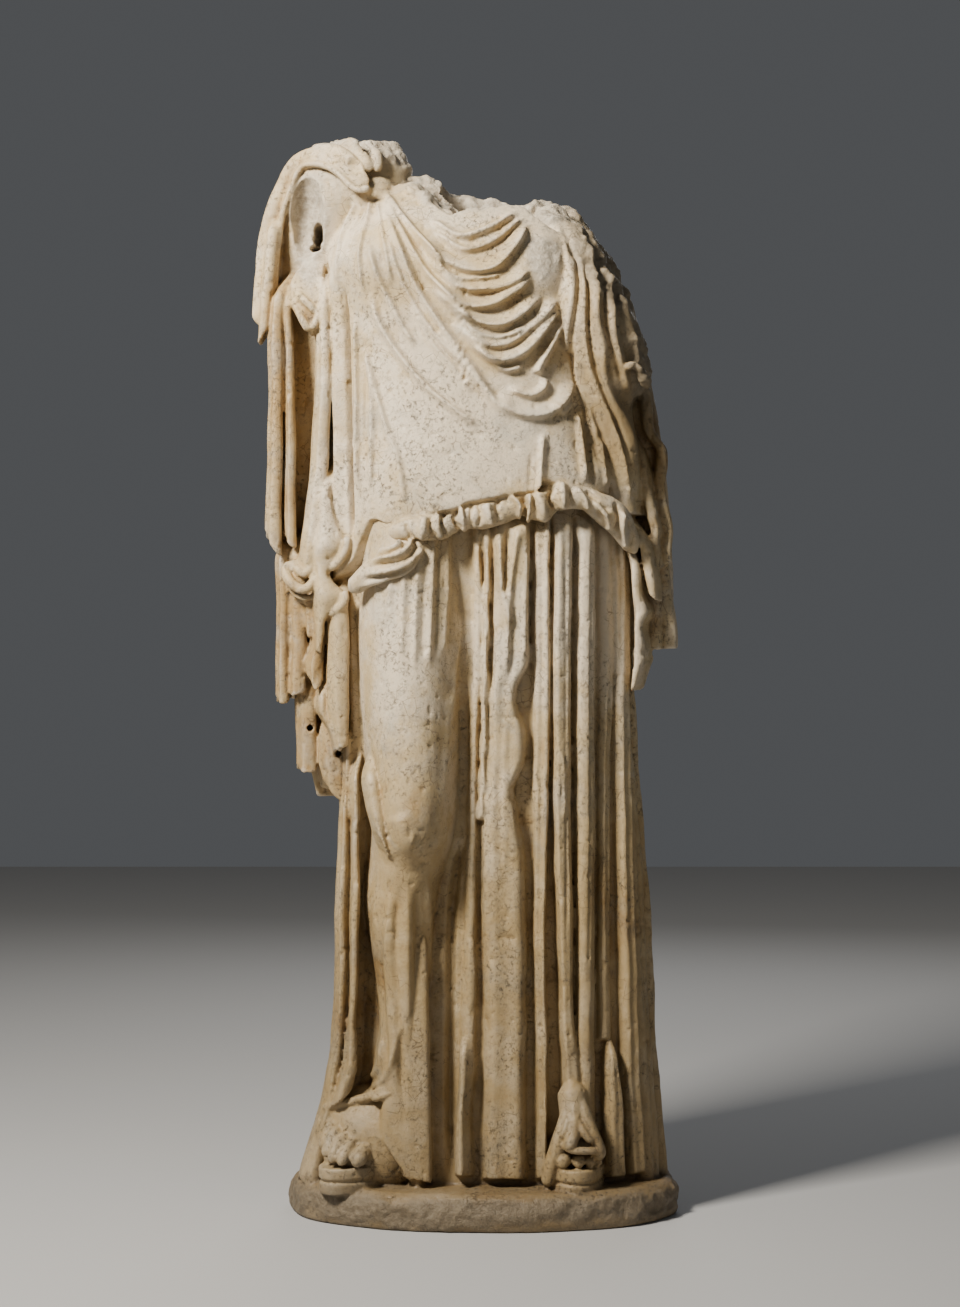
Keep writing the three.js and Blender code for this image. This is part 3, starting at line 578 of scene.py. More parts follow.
# And where it rolls under at her right side.
UNDER_ROLL = [
    (-80, -156, 1082, 19), (-100, -162, 1066, 25), (-126, -161, 1053, 23), (-152, -154, 1040, 20),
    (-172, -144, 1026, 16), (-190, -130, 1010, 12),
]
POUCH_FOLDS = [
    # its creases and the puffs between them
    [-10, 5, 5, (-101, 1120), (-96, 1104), (-88, 1088)],
    [9, 13, 13, (-70, 1128), (-72, 1110), (-75, 1090)],
    [-10, 5, 5, (-58, 1130), (-62, 1112), (-51, 1088)],
    [7, 9, 9, (-48, 1132), (-50, 1112), (-43, 1092)],
    [-11, 5, 5, (-38, 1136), (-43, 1118), (-33, 1096)],
    [-15, 6, 6, (-18, 1144), (-23, 1125), (-11, 1104)],
    [9, 5, 9, (-12, 1144), (-8, 1124), (-3, 1104)],
    [-8, 4, 4, (6, 1148), (2, 1128), (8, 1110)],
    [-8, 4, 4, (15, 1150), (19, 1128), (13, 1110)],
    [10, 14, 14, (27, 1148), (32, 1132), (36, 1114)],
    [-8, 4, 5, (49, 1156), (44, 1141), (51, 1124)],
    [9, 6, 7, (56, 1164), (74, 1154), (82, 1141), (79, 1122)],
    [-18, 8, 7, (84, 1162), (91, 1143), (85, 1124)],
    [10, 5, 9, (99, 1164), (97, 1144), (95, 1120)],
    [-7, 4, 5, (103, 1160), (106, 1144), (113, 1128)],
    [10, 15, 14, (110, 1166), (116, 1146), (121, 1120)],
    [-16, 6, 6, (133, 1180), (129, 1157), (139, 1138)],
    [11, 13, 12, (148, 1182), (149, 1162), (150, 1140)],
    [-10, 5, 5, (160, 1174), (163, 1160), (168, 1144)],
    [9, 6, 8, (168, 1176), (184, 1159), (194, 1140)],
    [-10, 6, 6, (186, 1174), (206, 1153), (226, 1136)],
    [10, 7, 9, (200, 1158), (219, 1134), (229, 1108)],
    [-8, 5, 5, (204, 1140), (216, 1126), (224, 1112)],
    [-12, 6, 5, (233, 1154), (240, 1127), (235, 1104)],
    [10, 6, 8, (246, 1140), (248, 1108), (256, 1078)],
    [-8, 5, 4, (258, 1126), (261, 1104), (262, 1082)],
    # round the roll
    [-9, 4, 5, (-80, 1096), (-84, 1076), (-98, 1060), (-122, 1053), (-158, 1048)],
    [8, 5, 6, (-90, 1094), (-96, 1078), (-116, 1066), (-160, 1056)],
    [-8, 4, 4, (-98, 1092), (-106, 1078), (-130, 1067), (-160, 1062)],
    [6, 5, 5, (-108, 1090), (-118, 1078), (-150, 1070)],
    [8, 6, 6, (-76, 1084), (-84, 1062), (-104, 1050), (-130, 1042), (-168, 1036)],
    [-8, 4, 5, (-78, 1070), (-92, 1050), (-120, 1038), (-170, 1026)],
    [6, 6, 6, (-84, 1056), (-104, 1040), (-134, 1030), (-176, 1016)],
]


def pouch():
    """The pouch over the belt, with the creases its gathers make."""
    for rows, steps in ((POUCH, 260), (UNDER_ROLL, 90)):
        rows = np.array(rows, float)
        rings = roll_rings(rows[:, :3], rows[:, 3], flat=0.8, steps=steps, around=56)
        yield carved(rings, POUCH_FOLDS)


# ------------------------------------------------------------------ the mantle

# Broken ends of folds: how fold() is to make each, then its rows.
MANTLE_ENDS = [
    # the outer edge over the shoulder, opened and broken into a zigzag
    [{"slant": 1.6}, (1432, -334, -30, 22, 60, 0), (1500, -328, -28, 22, 70, -6),
     (1581, -316, -26, 22, 70, -12), (1640, -302, -24, 26, 70, -30), (1690, -276, -20, 34, 60, -50)],
    [{"power": 4.0}, (1428, -256, -64, 5, 26, 0), (1450, -258, -62, 26, 30, 0),
     (1474, -260, -60, 44, 34, 0), (1496, -263, -54, 52, 36, 0), (1600, -264, -40, 52, 40, 0)],
    [{"slant": -1.4}, (1422, -318, -44, 16, 50, 10), (1470, -316, -42, 20, 50, 10),
     (1520, -314, -34, 18, 60, 0)],
    # the second tier: a flat strip, a folded edge and the sleeve-like fold that curls at its end
    [{"slant": -1.5, "deep": 90}, (1080, -317, -30, 27), (1190, -317, -30, 25), (1320, -314, -28, 23),
     (1440, -313, -26, 24), (1580, -306, -22, 24)],
    [{"slant": -0.9, "deep": 80}, (1086, -290, -36, 19), (1250, -291, -36, 16), (1440, -294, -28, 14),
     (1580, -294, -22, 14)],
    [{"slant": 0.3, "deep": 60, "turn": 8}, (1016, -276, -58, 34), (1050, -274, -56, 38),
     (1086, -264, -54, 34), (1127, -254, -52, 26)],
    [{"slant": 0.4}, (1040, -264, -62, 30, 70, 8), (1080, -258, -62, 32, 84, 6),
     (1127, -251, -60, 30, 84, 4), (1192, -244, -58, 28, 84, 4), (1322, -238, -56, 24, 84, 4),
     (1400, -238, -50, 22, 84, 4), (1580, -236, -46, 18, 84, 4)],
    # the third tier, two round folds broken off short
    [{"deep": 90}, (829, -304, -10, 20), (950, -304, -10, 20), (1070, -306, -10, 22),
     (1160, -308, -10, 22)],
    [{"slant": 0.3, "deep": 90}, (843, -280, -18, 31), (950, -280, -18, 30), (1060, -282, -20, 28),
     (1160, -284, -20, 26)],
    # leaf-like ends beside them
    [{"point": 1.5, "deep": 84, "turn": 6}, (934, -262, -36, 18), (976, -262, -36, 24),
     (1040, -264, -36, 22), (1110, -264, -36, 20)],
    [{"point": 1.2, "deep": 84, "turn": 8}, (850, -252, -44, 24), (890, -254, -44, 28),
     (925, -250, -46, 20), (990, -248, -46, 20), (1060, -248, -46, 18)],
    [{"slant": 1.2, "deep": 60, "turn": 10}, (752, -214, -70, 12), (790, -222, -66, 14),
     (812, -236, -60, 14), (850, -240, -56, 14), (930, -240, -50, 12)],
    # the foot of the mantle
    [{"deep": 90}, (717, -264, -8, 34), (780, -265, -6, 34), (850, -266, -4, 34), (940, -266, -4, 34)],
    [{"slant": -0.8, "deep": 90, "turn": 8}, (676, -220, -24, 38), (720, -224, -26, 44),
     (800, -226, -24, 40), (880, -228, -20, 36)],
    # the overfold's open side: the long panel with its swallow tail, and the round fold below
    [{"slant": -0.6}, (913, -247, -70, 10, 60, 12), (945, -244, -74, 15, 60, 12),
     (968, -242, -78, 19, 60, 14), (984, -230, -84, 42, 52, 18), (1008, -226, -88, 52, 50, 18),
     (1024, -236, -84, 34, 54, 14), (1042, -240, -80, 26, 60, 12), (1060, -232, -86, 44, 54, 16),
     (1082, -224, -92, 58, 54, 18), (1116, -230, -84, 34, 60, 14), (1180, -237, -76, 20, 70, 10),
     (1260, -238, -70, 14, 80, 8)],
    [{"point": 0.5, "deep": 90, "turn": 10}, (757, -212, -60, 24), (800, -214, -62, 30),
     (870, -215, -64, 34), (950, -216, -64, 34), (1010, -216, -64, 30), (1080, -216, -64, 26)],
    # the other side: the mantle's edge behind the broken arm
    [{"slant": 0.4}, (1058, 325, -12, 18, 46, 0), (1080, 325, -12, 17, 46, 0), (1116, 326, -10, 21, 46, 0),
     (1150, 319, -10, 20, 46, 0), (1188, 311, -10, 22, 48, 0), (1222, 314, -10, 22, 48, 0),
     (1250, 312, -8, 20, 48, 0), (1270, 297, -8, 20, 48, 0), (1310, 291, -6, 22, 50, 0),
     (1370, 286, -4, 22, 50, 0), (1500, 266, 0, 20, 50, 0)],
    [{}, (919, 328, -4, 28, 46, 0), (941, 328, -4, 28, 48, 0), (1002, 322, -2, 26, 48, 0),
     (1060, 318, -2, 24, 48, 0), (1200, 306, 0, 24, 48, 0)],
    [{"deep": 50}, (918, 304, -6, 26), (976, 304, -6, 26), (1060, 300, -6, 26), (1200, 292, -4, 24)],
    [{"deep": 56}, (1060, 300, 8, 34), (1150, 294, 8, 34), (1240, 288, 8, 40), (1400, 270, 8, 30)],
    # and the folds that hang round that side
    [{"slant": 0.3}, (924, 318, 46, 34, 46, 78), (1060, 316, 46, 32, 46, 80), (1240, 300, 44, 30, 44, 82),
     (1400, 274, 42, 28, 40, 84), (1540, 236, 40, 26, 36, 84)],
    [{"slant": -0.3}, (930, 310, 82, 30, 46, 68), (1060, 308, 82, 28, 46, 70), (1240, 292, 80, 28, 44, 70),
     (1400, 266, 76, 26, 40, 72), (1560, 224, 66, 24, 36, 74)],
    [{"slant": 0.9}, (1046, 315, -22, 15, 60, -14), (1092, 309, -24, 18, 60, -14),
     (1112, 310, -24, 20, 60, -14), (1134, 304, -24, 22, 70, -14), (1170, 294, -22, 22, 80, -14),
     (1206, 291, -20, 18, 80, -14), (1245, 284, -18, 14, 80, -14), (1330, 276, -14, 12, 80, -14)],
    [{"slant": -1.0}, (1003, 303, -46, 18, 50, -16), (1040, 298, -50, 22, 60, -16),
     (1083, 290, -54, 20, 60, -16), (1133, 278, -60, 18, 60, -16), (1180, 272, -64, 16, 70, -16)],
    [{"slant": -0.4, "deep": 60, "turn": -16}, (968, 298, -30, 12), (1000, 294, -32, 16),
     (1060, 290, -34, 14)],
    [{"slant": 1.2}, (854, 275, -46, 10, 60, -20), (892, 283, -44, 17, 70, -20),
     (921, 284, -44, 18, 70, -20), (961, 285, -44, 17, 80, -20), (976, 289, -44, 26, 80, -20),
     (1002, 284, -46, 18, 80, -20), (1080, 278, -50, 18, 80, -20), (1140, 270, -56, 16, 80, -20)],
]
# Folds of the skirt that hang clear of it, in the same way.
SKIRT_ENDS = [
    # the sheet of cloth between her instep and the corner on her shin, then the outer pleats
    [{"slant": -1.5, "power": 4.0}, (104, -113, -124, 56, 60, -8), (170, -110, -124, 60, 56, -8),
     (240, -100, -124, 50, 44, -4), (330, -96, -122, 30, 30, 0)],
    [{}, (FLOOR, -262, -58, 30, 80, 12), (100, -252, -56, 24, 80, 12), (180, -230, -56, 18, 80, 8),
     (300, -213, -52, 15, 80, 4), (500, -209, -50, 15, 80, 4), (640, -203, -46, 13, 80, 4),
     (860, -198, -42, 11, 80, 4)],
    [{"slant": 0.9}, (196, -208, -92, 36, 60, 14), (235, -196, -92, 22, 70, 8), (300, -189, -88, 15, 70, 4),
     (500, -185, -86, 15, 70, 4), (640, -184, -80, 12, 70, 4), (800, -188, -70, 8, 80, 4)],
    [{"slant": -2.2}, (606, -139, -164, 20, 44, 20), (640, -146, -158, 22, 44, 20),
     (700, -157, -148, 20, 44, 20), (800, -170, -134, 12, 40, 20)],
]
# Curled ends and turned edges of the mantle: radius, then points.
CURLS = [
    [8, (-284, -66, 1060), (-296, -78, 1044), (-286, -92, 1024), (-264, -100, 1014), (-246, -96, 1034),
     (-240, -90, 1062)],
    [5, (-290, -62, 1034), (-286, -78, 1012), (-266, -88, 1000), (-250, -84, 1004)],
    [4.5, (-284, -58, 1020), (-276, -72, 1000), (-258, -80, 992)],
    [8, (-282, -64, 1062), (-276, -82, 1046), (-262, -92, 1040), (-250, -92, 1060)],
    [7, (-228, -98, 1046), (-212, -108, 1056), (-198, -116, 1076), (-194, -116, 1100)],
    [6, (-234, -94, 974), (-216, -104, 978), (-200, -108, 994), (-200, -108, 1012)],
    # the broken forearm's rim
    [8, (250, -128, 1366), (264, -130, 1372), (276, -120, 1362), (284, -106, 1346), (282, -100, 1334)],
]

BACK_FOLDS = 21
# The mantle's hem rises across her back: the share of the way from her right to her left, and height.
BACK_HEM = [(0, 860), (0.1, 840), (0.17, 740), (0.25, 690), (0.4, 735), (0.65, 850), (1, 930)]
FULL_WIDTH, SHOULDERS = 930.0, 1600.0  # it is a tenth narrower at the shoulders than lower down
BACK_TOP, BACK_PROUD, BACK_DEEP = 1630.0, 18.0, 56.0  # its folds' top, what shows, and whole depth


def back_folds():
    """The mantle's folds round her back, from her right side to her left."""
    for k in range(BACK_FOLDS):
        t = (k + 0.5) / BACK_FOLDS
        angle = math.pi * (0.03 + 0.94 * t)
        u, v = rounded(1.5 * math.pi - angle, MANTLE_POWER)
        out = Vector((-math.cos(angle) ** 3 * 1.4, math.sin(angle))).normalized()
        hem = np.interp(t, *zip(*BACK_HEM)) + 9 * math.sin(5 * k)
        top = BACK_TOP - 120 * abs(u) ** 2 + 26 * math.sin(2.2 * k)
        wide, proud = 1 + 0.2 * math.sin(3.1 * k), 1 + 0.25 * math.sin(1.7 * k)
        rows = []
        for z in (hem, hem + 160, 1100, 1280, 1450, top):
            left, right, _, back = curve(MANTLE, np.array([max(z, FULL_WIDTH)]))[0]
            half = (right - left) / 2
            narrow = 1 - 0.1 * (z - FULL_WIDTH) / (SHOULDERS - FULL_WIDTH)
            reach = BACK_PROUD * proud * (1 - 0.6 * abs(u) ** 6) - BACK_DEEP / 2
            x = (left + right) / 2 + half * u * narrow + out.x * reach
            y = back * v + out.y * reach
            facing = math.degrees(math.atan2(-out.x, out.y)) + 5 * math.sin(1.3 * k + z / 300)
            width = (1.35 * half * (1 - abs(u) ** 3) + 0.7 * back) * math.pi / BACK_FOLDS * 0.92 * wide
            rows.append((z, x, y, width, BACK_DEEP, facing))
        yield fold(rows, slant=0.3 * (-1) ** k, power=LONG_FOLD_POWER, sway=1.6, sink=-30)


# Turned and broken edges: radius, how deep they are for their width, then points.
RIMS = [
    # the mantle's edge round the bed of her lost arm
    [[5, 9, 12, 14, 15, 15, 15, 15, 15, 15, 15, 14, 12], 0.6, (-158, -86, 1658), (-176, -94, 1668),
     (-198, -86, 1684), (-216, -76, 1703), (-236, -64, 1715), (-260, -52, 1718), (-284, -42, 1704),
     (-304, -36, 1668), (-320, -34, 1628), (-331, -32, 1580), (-336, -30, 1530), (-341, -30, 1474),
     (-343, -30, 1448)],
    [5, 1.2, (-160, -106, 1660), (-176, -104, 1657), (-192, -98, 1666), (-209, -90, 1684),
     (-228, -78, 1698), (-254, -64, 1706), (-275, -54, 1700), (-290, -50, 1668), (-304, -48, 1626),
     (-312, -46, 1580), (-316, -44, 1530), (-318, -42, 1480)],
    [[5, 9, 11, 11, 9], 0.8, (-162, -94, 1668), (-184, -88, 1700), (-206, -76, 1720), (-232, -60, 1731),
     (-256, -40, 1730)],
    [10, 0.8, (-160, -84, 1690), (-172, -78, 1714), (-196, -62, 1736), (-222, -36, 1744)],
    [9, 0.9, (-148, -80, 1690), (-150, -72, 1720), (-166, -54, 1744)],
    [8, 0.9, (-104, -82, 1662), (-90, -90, 1654), (-60, -92, 1636), (-24, -92, 1612)],
    [9, 0.9, (-24, -92, 1612), (-6, -108, 1594), (20, -114, 1588), (52, -108, 1602), (84, -94, 1624)],
    # the stone between the shoulder and the neck
    [44, 1.0, (-168, -42, 1606), (-156, -42, 1652), (-142, -34, 1702)],
    # the ragged end of cloth left under the lost arm
    [6, 1.2, (-290, -44, 1512), (-286, -62, 1486), (-272, -76, 1456), (-258, -82, 1432)],
    [6, 1.2, (-240, -60, 1524), (-238, -74, 1486), (-244, -80, 1456), (-254, -82, 1434)],
    [6, 1.0, (-286, -54, 1500), (-266, -80, 1482), (-246, -80, 1462)],
    [5, 1.0, (-282, -44, 1524), (-262, -62, 1508), (-240, -66, 1500)],
]

# ------------------------------------------------------------------ feet

# Folds of the robe over her feet: radius, then points.
FOOT_FOLDS = [
    # the hem where it falls over her left foot
    [12, (166, -132, 230), (158, -148, 180), (144, -160, 136), (132, -158, 96), (124, -152, 60)],
    [11, (166, -136, 220), (168, -164, 166), (162, -178, 138), (152, -178, 126)],
    [11, (170, -136, 214), (190, -160, 164), (204, -164, 130), (209, -156, 106)],
    [6, (148, -170, 132), (164, -182, 126), (188, -180, 124), (206, -168, 122)],
    [7, (172, -164, 172), (184, -176, 150), (198, -174, 136)],
    [6, (160, -160, 180), (154, -172, 158), (146, -174, 142)],
    [24, (164, -124, 230), (168, -136, 180), (170, -144, 150)],
    # and where it sweeps over her right instep
    [[12, 9, 7, 7, 7], (-98, -130, 290), (-112, -136, 240), (-144, -130, 208), (-190, -108, 190),
     (-236, -80, 176)],
    [[10, 8, 7, 6], (-88, -134, 260), (-106, -140, 226), (-132, -138, 206), (-156, -130, 198)],
]
# Her toes: radius, then knuckle, middle and tip.
TOES = [
    [13, (-160, -120, 120), (-172, -152, 112), (-181, -170, 98)],
    [10, (-182, -114, 132), (-195, -148, 120), (-205, -167, 98)],
    [9.5, (-192, -106, 142), (-208, -140, 128), (-219, -158, 100)],
    [9, (-200, -96, 150), (-218, -126, 138), (-229, -144, 106)],
    [9, (-206, -84, 158), (-224, -108, 146), (-234, -126, 116)],
    [13, (150, -140, 108), (149, -164, 106), (148, -178, 98)],
    [10, (172, -140, 108), (174, -164, 105), (175, -176, 97)],
    [9, (190, -138, 106), (192, -158, 103), (193, -168, 96)],
    [8, (202, -132, 104), (204, -148, 101), (205, -158, 96)],
]
# Her insteps: middle, half sizes and turn in degrees.
INSTEPS = [
    (-184, -98, 104, 50, 50, 40, -38),
    (-158, -76, 120, 88, 66, 94, -24),
    (168, -104, 104, 46, 50, 44, 0),
]
# Where each sole lies, and which way it points in degrees from the front.
SOLES = [((168, -96), 2), ((-172, -90), -38)]
# The sandal's layers: from and to what height, half width and half length.
SOLE_LAYERS = [(50, 69, 49, 90), (66, 76, 45, 86), (73, 92, 49, 91)]
SOLE_EDGE = 3.0  # how much their edges are softened


def deselect():
    bpy.ops.object.select_all(action="DESELECT")


def place(x, y, z):
    """A point on the modelling axes, as Blender takes it."""
    return tuple((np.array([x, y, z]) + CENTRE) * MM)


def lump(x, y, z, rx, ry, rz, turn=0.0):
    """A rounded lump of stone or flesh, set in place."""
    deselect()
    bpy.ops.mesh.primitive_uv_sphere_add(
        segments=28, ring_count=16, radius=MM, location=place(x, y, z),
        rotation=(0, 0, math.radians(turn)), scale=(rx, ry, rz),
    )
    bpy.ops.object.transform_apply(location=True, rotation=True, scale=True)
    return bpy.context.object


def sole_layer(x, y, low, high, half_width, half_length, turn):
    """One layer of a sandal's sole, with softened edges."""
    deselect()
    bpy.ops.mesh.primitive_cylinder_add(
        vertices=48, radius=MM, depth=MM, location=place(x, y, (low + high) / 2),
        rotation=(0, 0, math.radians(turn)), scale=(half_width, half_length, high - low),
    )
    bpy.ops.object.transform_apply(location=True, rotation=True, scale=True)
    made = bpy.context.object
    soften = made.modifiers.new("soft edge", "BEVEL")
    soften.width, soften.segments, soften.angle_limit = SOLE_EDGE * MM, 2, math.radians(60)
    bpy.ops.object.modifier_apply(modifier=soften.name)
    return made


def feet():
    """The thick soles of her sandals, each in layers, and her insteps."""
    made = [sole_layer(*at, *layer, turn) for at, turn in SOLES for layer in SOLE_LAYERS]
    return made + [lump(*instep) for instep in INSTEPS]


# ------------------------------------------------------------------ plinth

PLINTH_AT, PLINTH_HALF, PLINTH_POWER = (28.0, -2.0), (316.0, 210.0), 2.45
# Its rim from the ground up: how far it draws in, and its height.
PLINTH_RIM = [(8, 0), (2, 3), (0, 12), (0, 34), (3, 46), (9, 53), (18, PLINTH_TOP)]


def plinth():
    """The low oval slab that the figure stands on, with an uneven worn rim."""
    u, v = outline(200, PLINTH_POWER)
    angle = np.arctan2(u, -v)
    uneven = 1 + 0.012 * np.sin(3 * angle + 0.6) + 0.01 * np.sin(5 * angle + 2)
    uneven += 0.005 * np.sin(11 * angle)
    rings = []
    for cut, z in PLINTH_RIM:
        x, y = (at + (half * uneven - cut) * way for at, half, way in zip(PLINTH_AT, PLINTH_HALF, (u, v)))
        rings.append(np.stack([x, y, np.full_like(x, z)], -1))
    return closed(np.array(rings))


# ------------------------------------------------------------------ joining and cutting


def mesh_object(name, shapes):
    """One mesh object from closed shapes given in millimetres."""
    points, faces, first = [], [], 0
    for shape_points, shape_faces in shapes:
        points.append(shape_points)
        faces += [[i + first for i in face] for face in shape_faces]
        first += len(shape_points)
    mesh = bpy.data.meshes.new(name)
    mesh.from_pydata(((np.vstack(points) + CENTRE) * MM).tolist(), [], faces)
    made = bpy.data.objects.new(name, mesh)
    bpy.context.scene.collection.objects.link(made)
    return made


def select_only(*objects):
    deselect()
    for o in objects:
        o.select_set(True)
    bpy.context.view_layer.objects.active = objects[0]


def apply(o, kind, **settings):
    """Give the object a modifier with these settings and apply it."""
    select_only(o)
    modifier = o.modifiers.new(kind.lower(), kind)
    for key, value in settings.items():
        setattr(modifier, key, value)
    bpy.ops.object.modifier_apply(modifier=modifier.name)


def points_of(o):
    """The object's points in millimetres, on the modelling axes."""
    flat = np.empty(len(o.data.vertices) * 3, np.float32)
    o.data.vertices.foreach_get("co", flat)
    return flat.reshape(-1, 3).astype(float) / MM - CENTRE


def set_points(o, points):
    """Move the object's points there."""
    o.data.vertices.foreach_set("co", ((points + CENTRE) * MM).astype(np.float32).ravel())
    o.data.update()


def robe_shapes():
    """The robe below the belt, on its plinth, with what shows of her feet."""
    yield plinth()
    yield body(SKIRT, SKIRT_POWER, 760, 480, SKIRT_FOLDS, FRONT_PLEATS)
    yield body(LEG, LEG_POWER, 260, 380, LEG_FOLDS)
    yield fold(SHIN_HEM, slant=-0.2, power=5, sway=0, sink=34)
    yield from side_pleats()
    yield from (fold(rows, **{"sink": 40, **end}) for end, *rows in SKIRT_ENDS)
    yield from (roll(points, radius, flat=1.3) for radius, *points in FOOT_FOLDS)
    yield from (roll(points, radius) for radius, *points in TOES)


def mantle_shapes():
    """All above the belt: the overfold and its pouch, the mantle and the broken arms."""
    yield overfold()
    yield body(MANTLE, MANTLE_POWER, 140, 120)
    yield body(SHOULDER_BLOCK, MANTLE_POWER, 80, 50)
    yield body(ARM, ARM_POWER, 220, 160, ARM_FOLDS)
    yield from (fold(rows, **{"sink": 40, **end}) for end, *rows in MANTLE_ENDS)
    yield from back_folds()
    yield from pouch()
    yield from (roll(points, radius) for radius, *points in CURLS)
    yield from (roll(points, radius, flat=flat) for radius, flat, *points in RIMS)


# Beds cut into the stone: the way they are cut, then middle and half sizes.
BEDS = [
    ((0, 1, 0), (-266, -96, 1606), (35, 74, 92)),  # the lost arm's
    ((0, 0, -1), (32, -4, 1690), (92, 62, 84)),  # the neck's
    ((0, 1, 0), (299, -90, 1250), (14, 62, 90)),  # behind the broken forearm
    ((0, 1, 0), (-186, -100, 1700), (20, 12, 19)),  # a hollow in the break over the clasp
    # the dowel's socket in the lost arm's bed
    ((0, 1, 0), (-247, -60, 1603), (7.5, 90, 13)),
    ((0, 1, 0), (-247, -60, 1590), (8, 90, 13)),
    ((0, 1, 0), (-251, -60, 1574), (10, 90, 6.5)),
    # drilled holes in the mantle's foot
    ((0, 1, 0), (-259, -60, 789), (5, 70, 5)),
    ((0, 1, 0), (-212, -90, 748), (6, 50, 7)),
]
BED_MOUTH = -4.0  # how far before its middle, in half sizes, a bed cut from the front starts


def cut_beds(block):
    """Push the surface that lies inside each bed to its far side."""
    points = points_of(block)
    for way, middle, half in BEDS:
        way, half = np.array(way, float), np.array(half, float)
        axis = int(np.argmax(abs(way)))
        q = (points - middle) / half
        across = (q**2).sum(1) - q[:, axis] ** 2
        far = np.sqrt(np.clip(1 - across, 0, 1)) * way[axis]
        inside = (across < 1) & (q[:, axis] * way[axis] < far * way[axis])
        if axis == 1:
            inside &= q[:, axis] * way[axis] > BED_MOUTH
        points[inside, axis] = middle[axis] + far[inside] * half[axis]
    set_points(block, points)


def carve(name, shapes, added=()):
    """All the forms joined into one closed surface, with its beds cut."""
    block = mesh_object(name, shapes)
    select_only(block, *added)
    if added:
        bpy.ops.object.join()
    apply(block, "REMESH", mode="VOXEL", voxel_size=GRAIN * MM)
    cut_beds(block)
    apply(block, "REMESH", mode="VOXEL", voxel_size=GRAIN * MM)
    apply(block, "SMOOTH", factor=0.5, iterations=1)
    return block


# ------------------------------------------------------------------ wear

LATTICE = 32  # the noise repeats after this many of its lumps


def noise(points, size, seed):
    """Smooth noise from -1 to 1, its lumps about size mm across."""
    lattice = np.random.default_rng(seed).uniform(-1, 1, (LATTICE, LATTICE, LATTICE))
    cell = points / size + seed * 3.7
    low = np.floor(cell).astype(int)
    t = cell - low
    t = t * t * (3 - 2 * t)
    total = np.zeros(len(points))
    for corner in np.ndindex(2, 2, 2):
        weight = np.prod(np.where(corner, t, 1 - t), axis=1)
        i, j, k = ((low + corner) % LATTICE).T
        total += weight * lattice[i, j, k]
    return total


def facets(points, size, seed):
    """Flat-faced noise from 0 to 1, as broken stone has: how near the nearest of some planes is."""
    way = np.random.default_rng(seed).normal(size=(3, 3))
    bent = points + 0.35 * size * np.stack([noise(points, size, seed + n) for n in range(3)], 1)
    saw = [abs(((bent @ w) / (size * np.linalg.norm(w))) % 1 - 0.5) * 2 for w in way]
    return np.mean(saw, axis=0)


# Stone that was broken through, and not weathered smooth: middle, half sizes and depth of the breaks.
BROKEN = [
    ((10, 0, 1660), (130, 150, 52), 9),  # the neck
    ((-160, 0, 1750), (120, 90, 60), 7),  # the top of her right shoulder
    ((150, -40, 1650), (90, 110, 55), 7),  # her left shoulder
    ((230, -60, 1560), (70, 120, 110), 7),  # and down its outer side
    ((286, -80, 1380), (34, 90, 80), 7),  # the left forearm
    ((128, -160, 1542), (40, 34, 44), 3),  # her left breast
    ((-262, -60, 1600), (36, 90, 100), 1.6),  # the bed of her right arm
    ((28, -2, 30), (420, 320, 34), 4.2),  # the plinth's rim
]


def away_from(points, middle, half):
    """How far points are from a rounded place: 1 at its edge, where half is its half sizes."""
    return np.sqrt((((points - middle) / half) ** 2).sum(1))


def broken_at(points):
    """How broken the stone is at each point, from 0 to 1, and how rough in mm."""
    share, rough = np.zeros(len(points)), np.zeros(len(points))
    wandering = points + 14 * np.stack([noise(points, 34, 40 + n) for n in range(3)], 1)
    for middle, half, depth in BROKEN:
        soft = ease(1.08, 0.86, away_from(wandering, middle, half))
        if middle[2] < PLINTH_TOP:  # the plinth is rough round its rim, and its top is smooth
            soft = soft * ease(PLINTH_TOP - 2, PLINTH_TOP - 12, points[:, 2])
        share = np.maximum(share, soft)
        rough = np.maximum(rough, depth * soft)
    return share, rough


def mesh_arrays(o):
    """The object's points, unit normals and edges."""
    mesh = o.data
    normals = np.empty(len(mesh.vertices) * 3, np.float32)
    mesh.vertex_normals.foreach_get("vector", normals)
    edges = np.empty(len(mesh.edges) * 2, np.int32)
    mesh.edges.foreach_get("vertices", edges)
    return points_of(o), normals.reshape(-1, 3).astype(float), edges.reshape(-1, 2)


def softened(values, edges, rounds):
    """The values averaged with their neighbours' that many times."""
    values = np.array(values, float)
    a, b = edges.T
    count = np.bincount(a, minlength=len(values)) + np.bincount(b, minlength=len(values)) + 1.0
    columns = values.reshape(len(values), -1)
    for _ in range(rounds):
        columns = np.stack([
            (c + np.bincount(a, c[b], len(c)) + np.bincount(b, c[a], len(c))) / count for c in columns.T
        ], 1)
    return columns.reshape(values.shape)


def height_over(points, normals, edges, rounds):
    """How far each point stands over the softened surface, in mm: under 0 in a hollow."""
    return ((points - softened(points, edges, rounds)) * normals).sum(1)


CRISP = 0.8  # how much the joined surface's crests and creases are sharpened again
CHIP_DEPTH, PIT_DEPTH = 3.4, 1.4  # in mm, of chips on proud edges and of pits anywhere


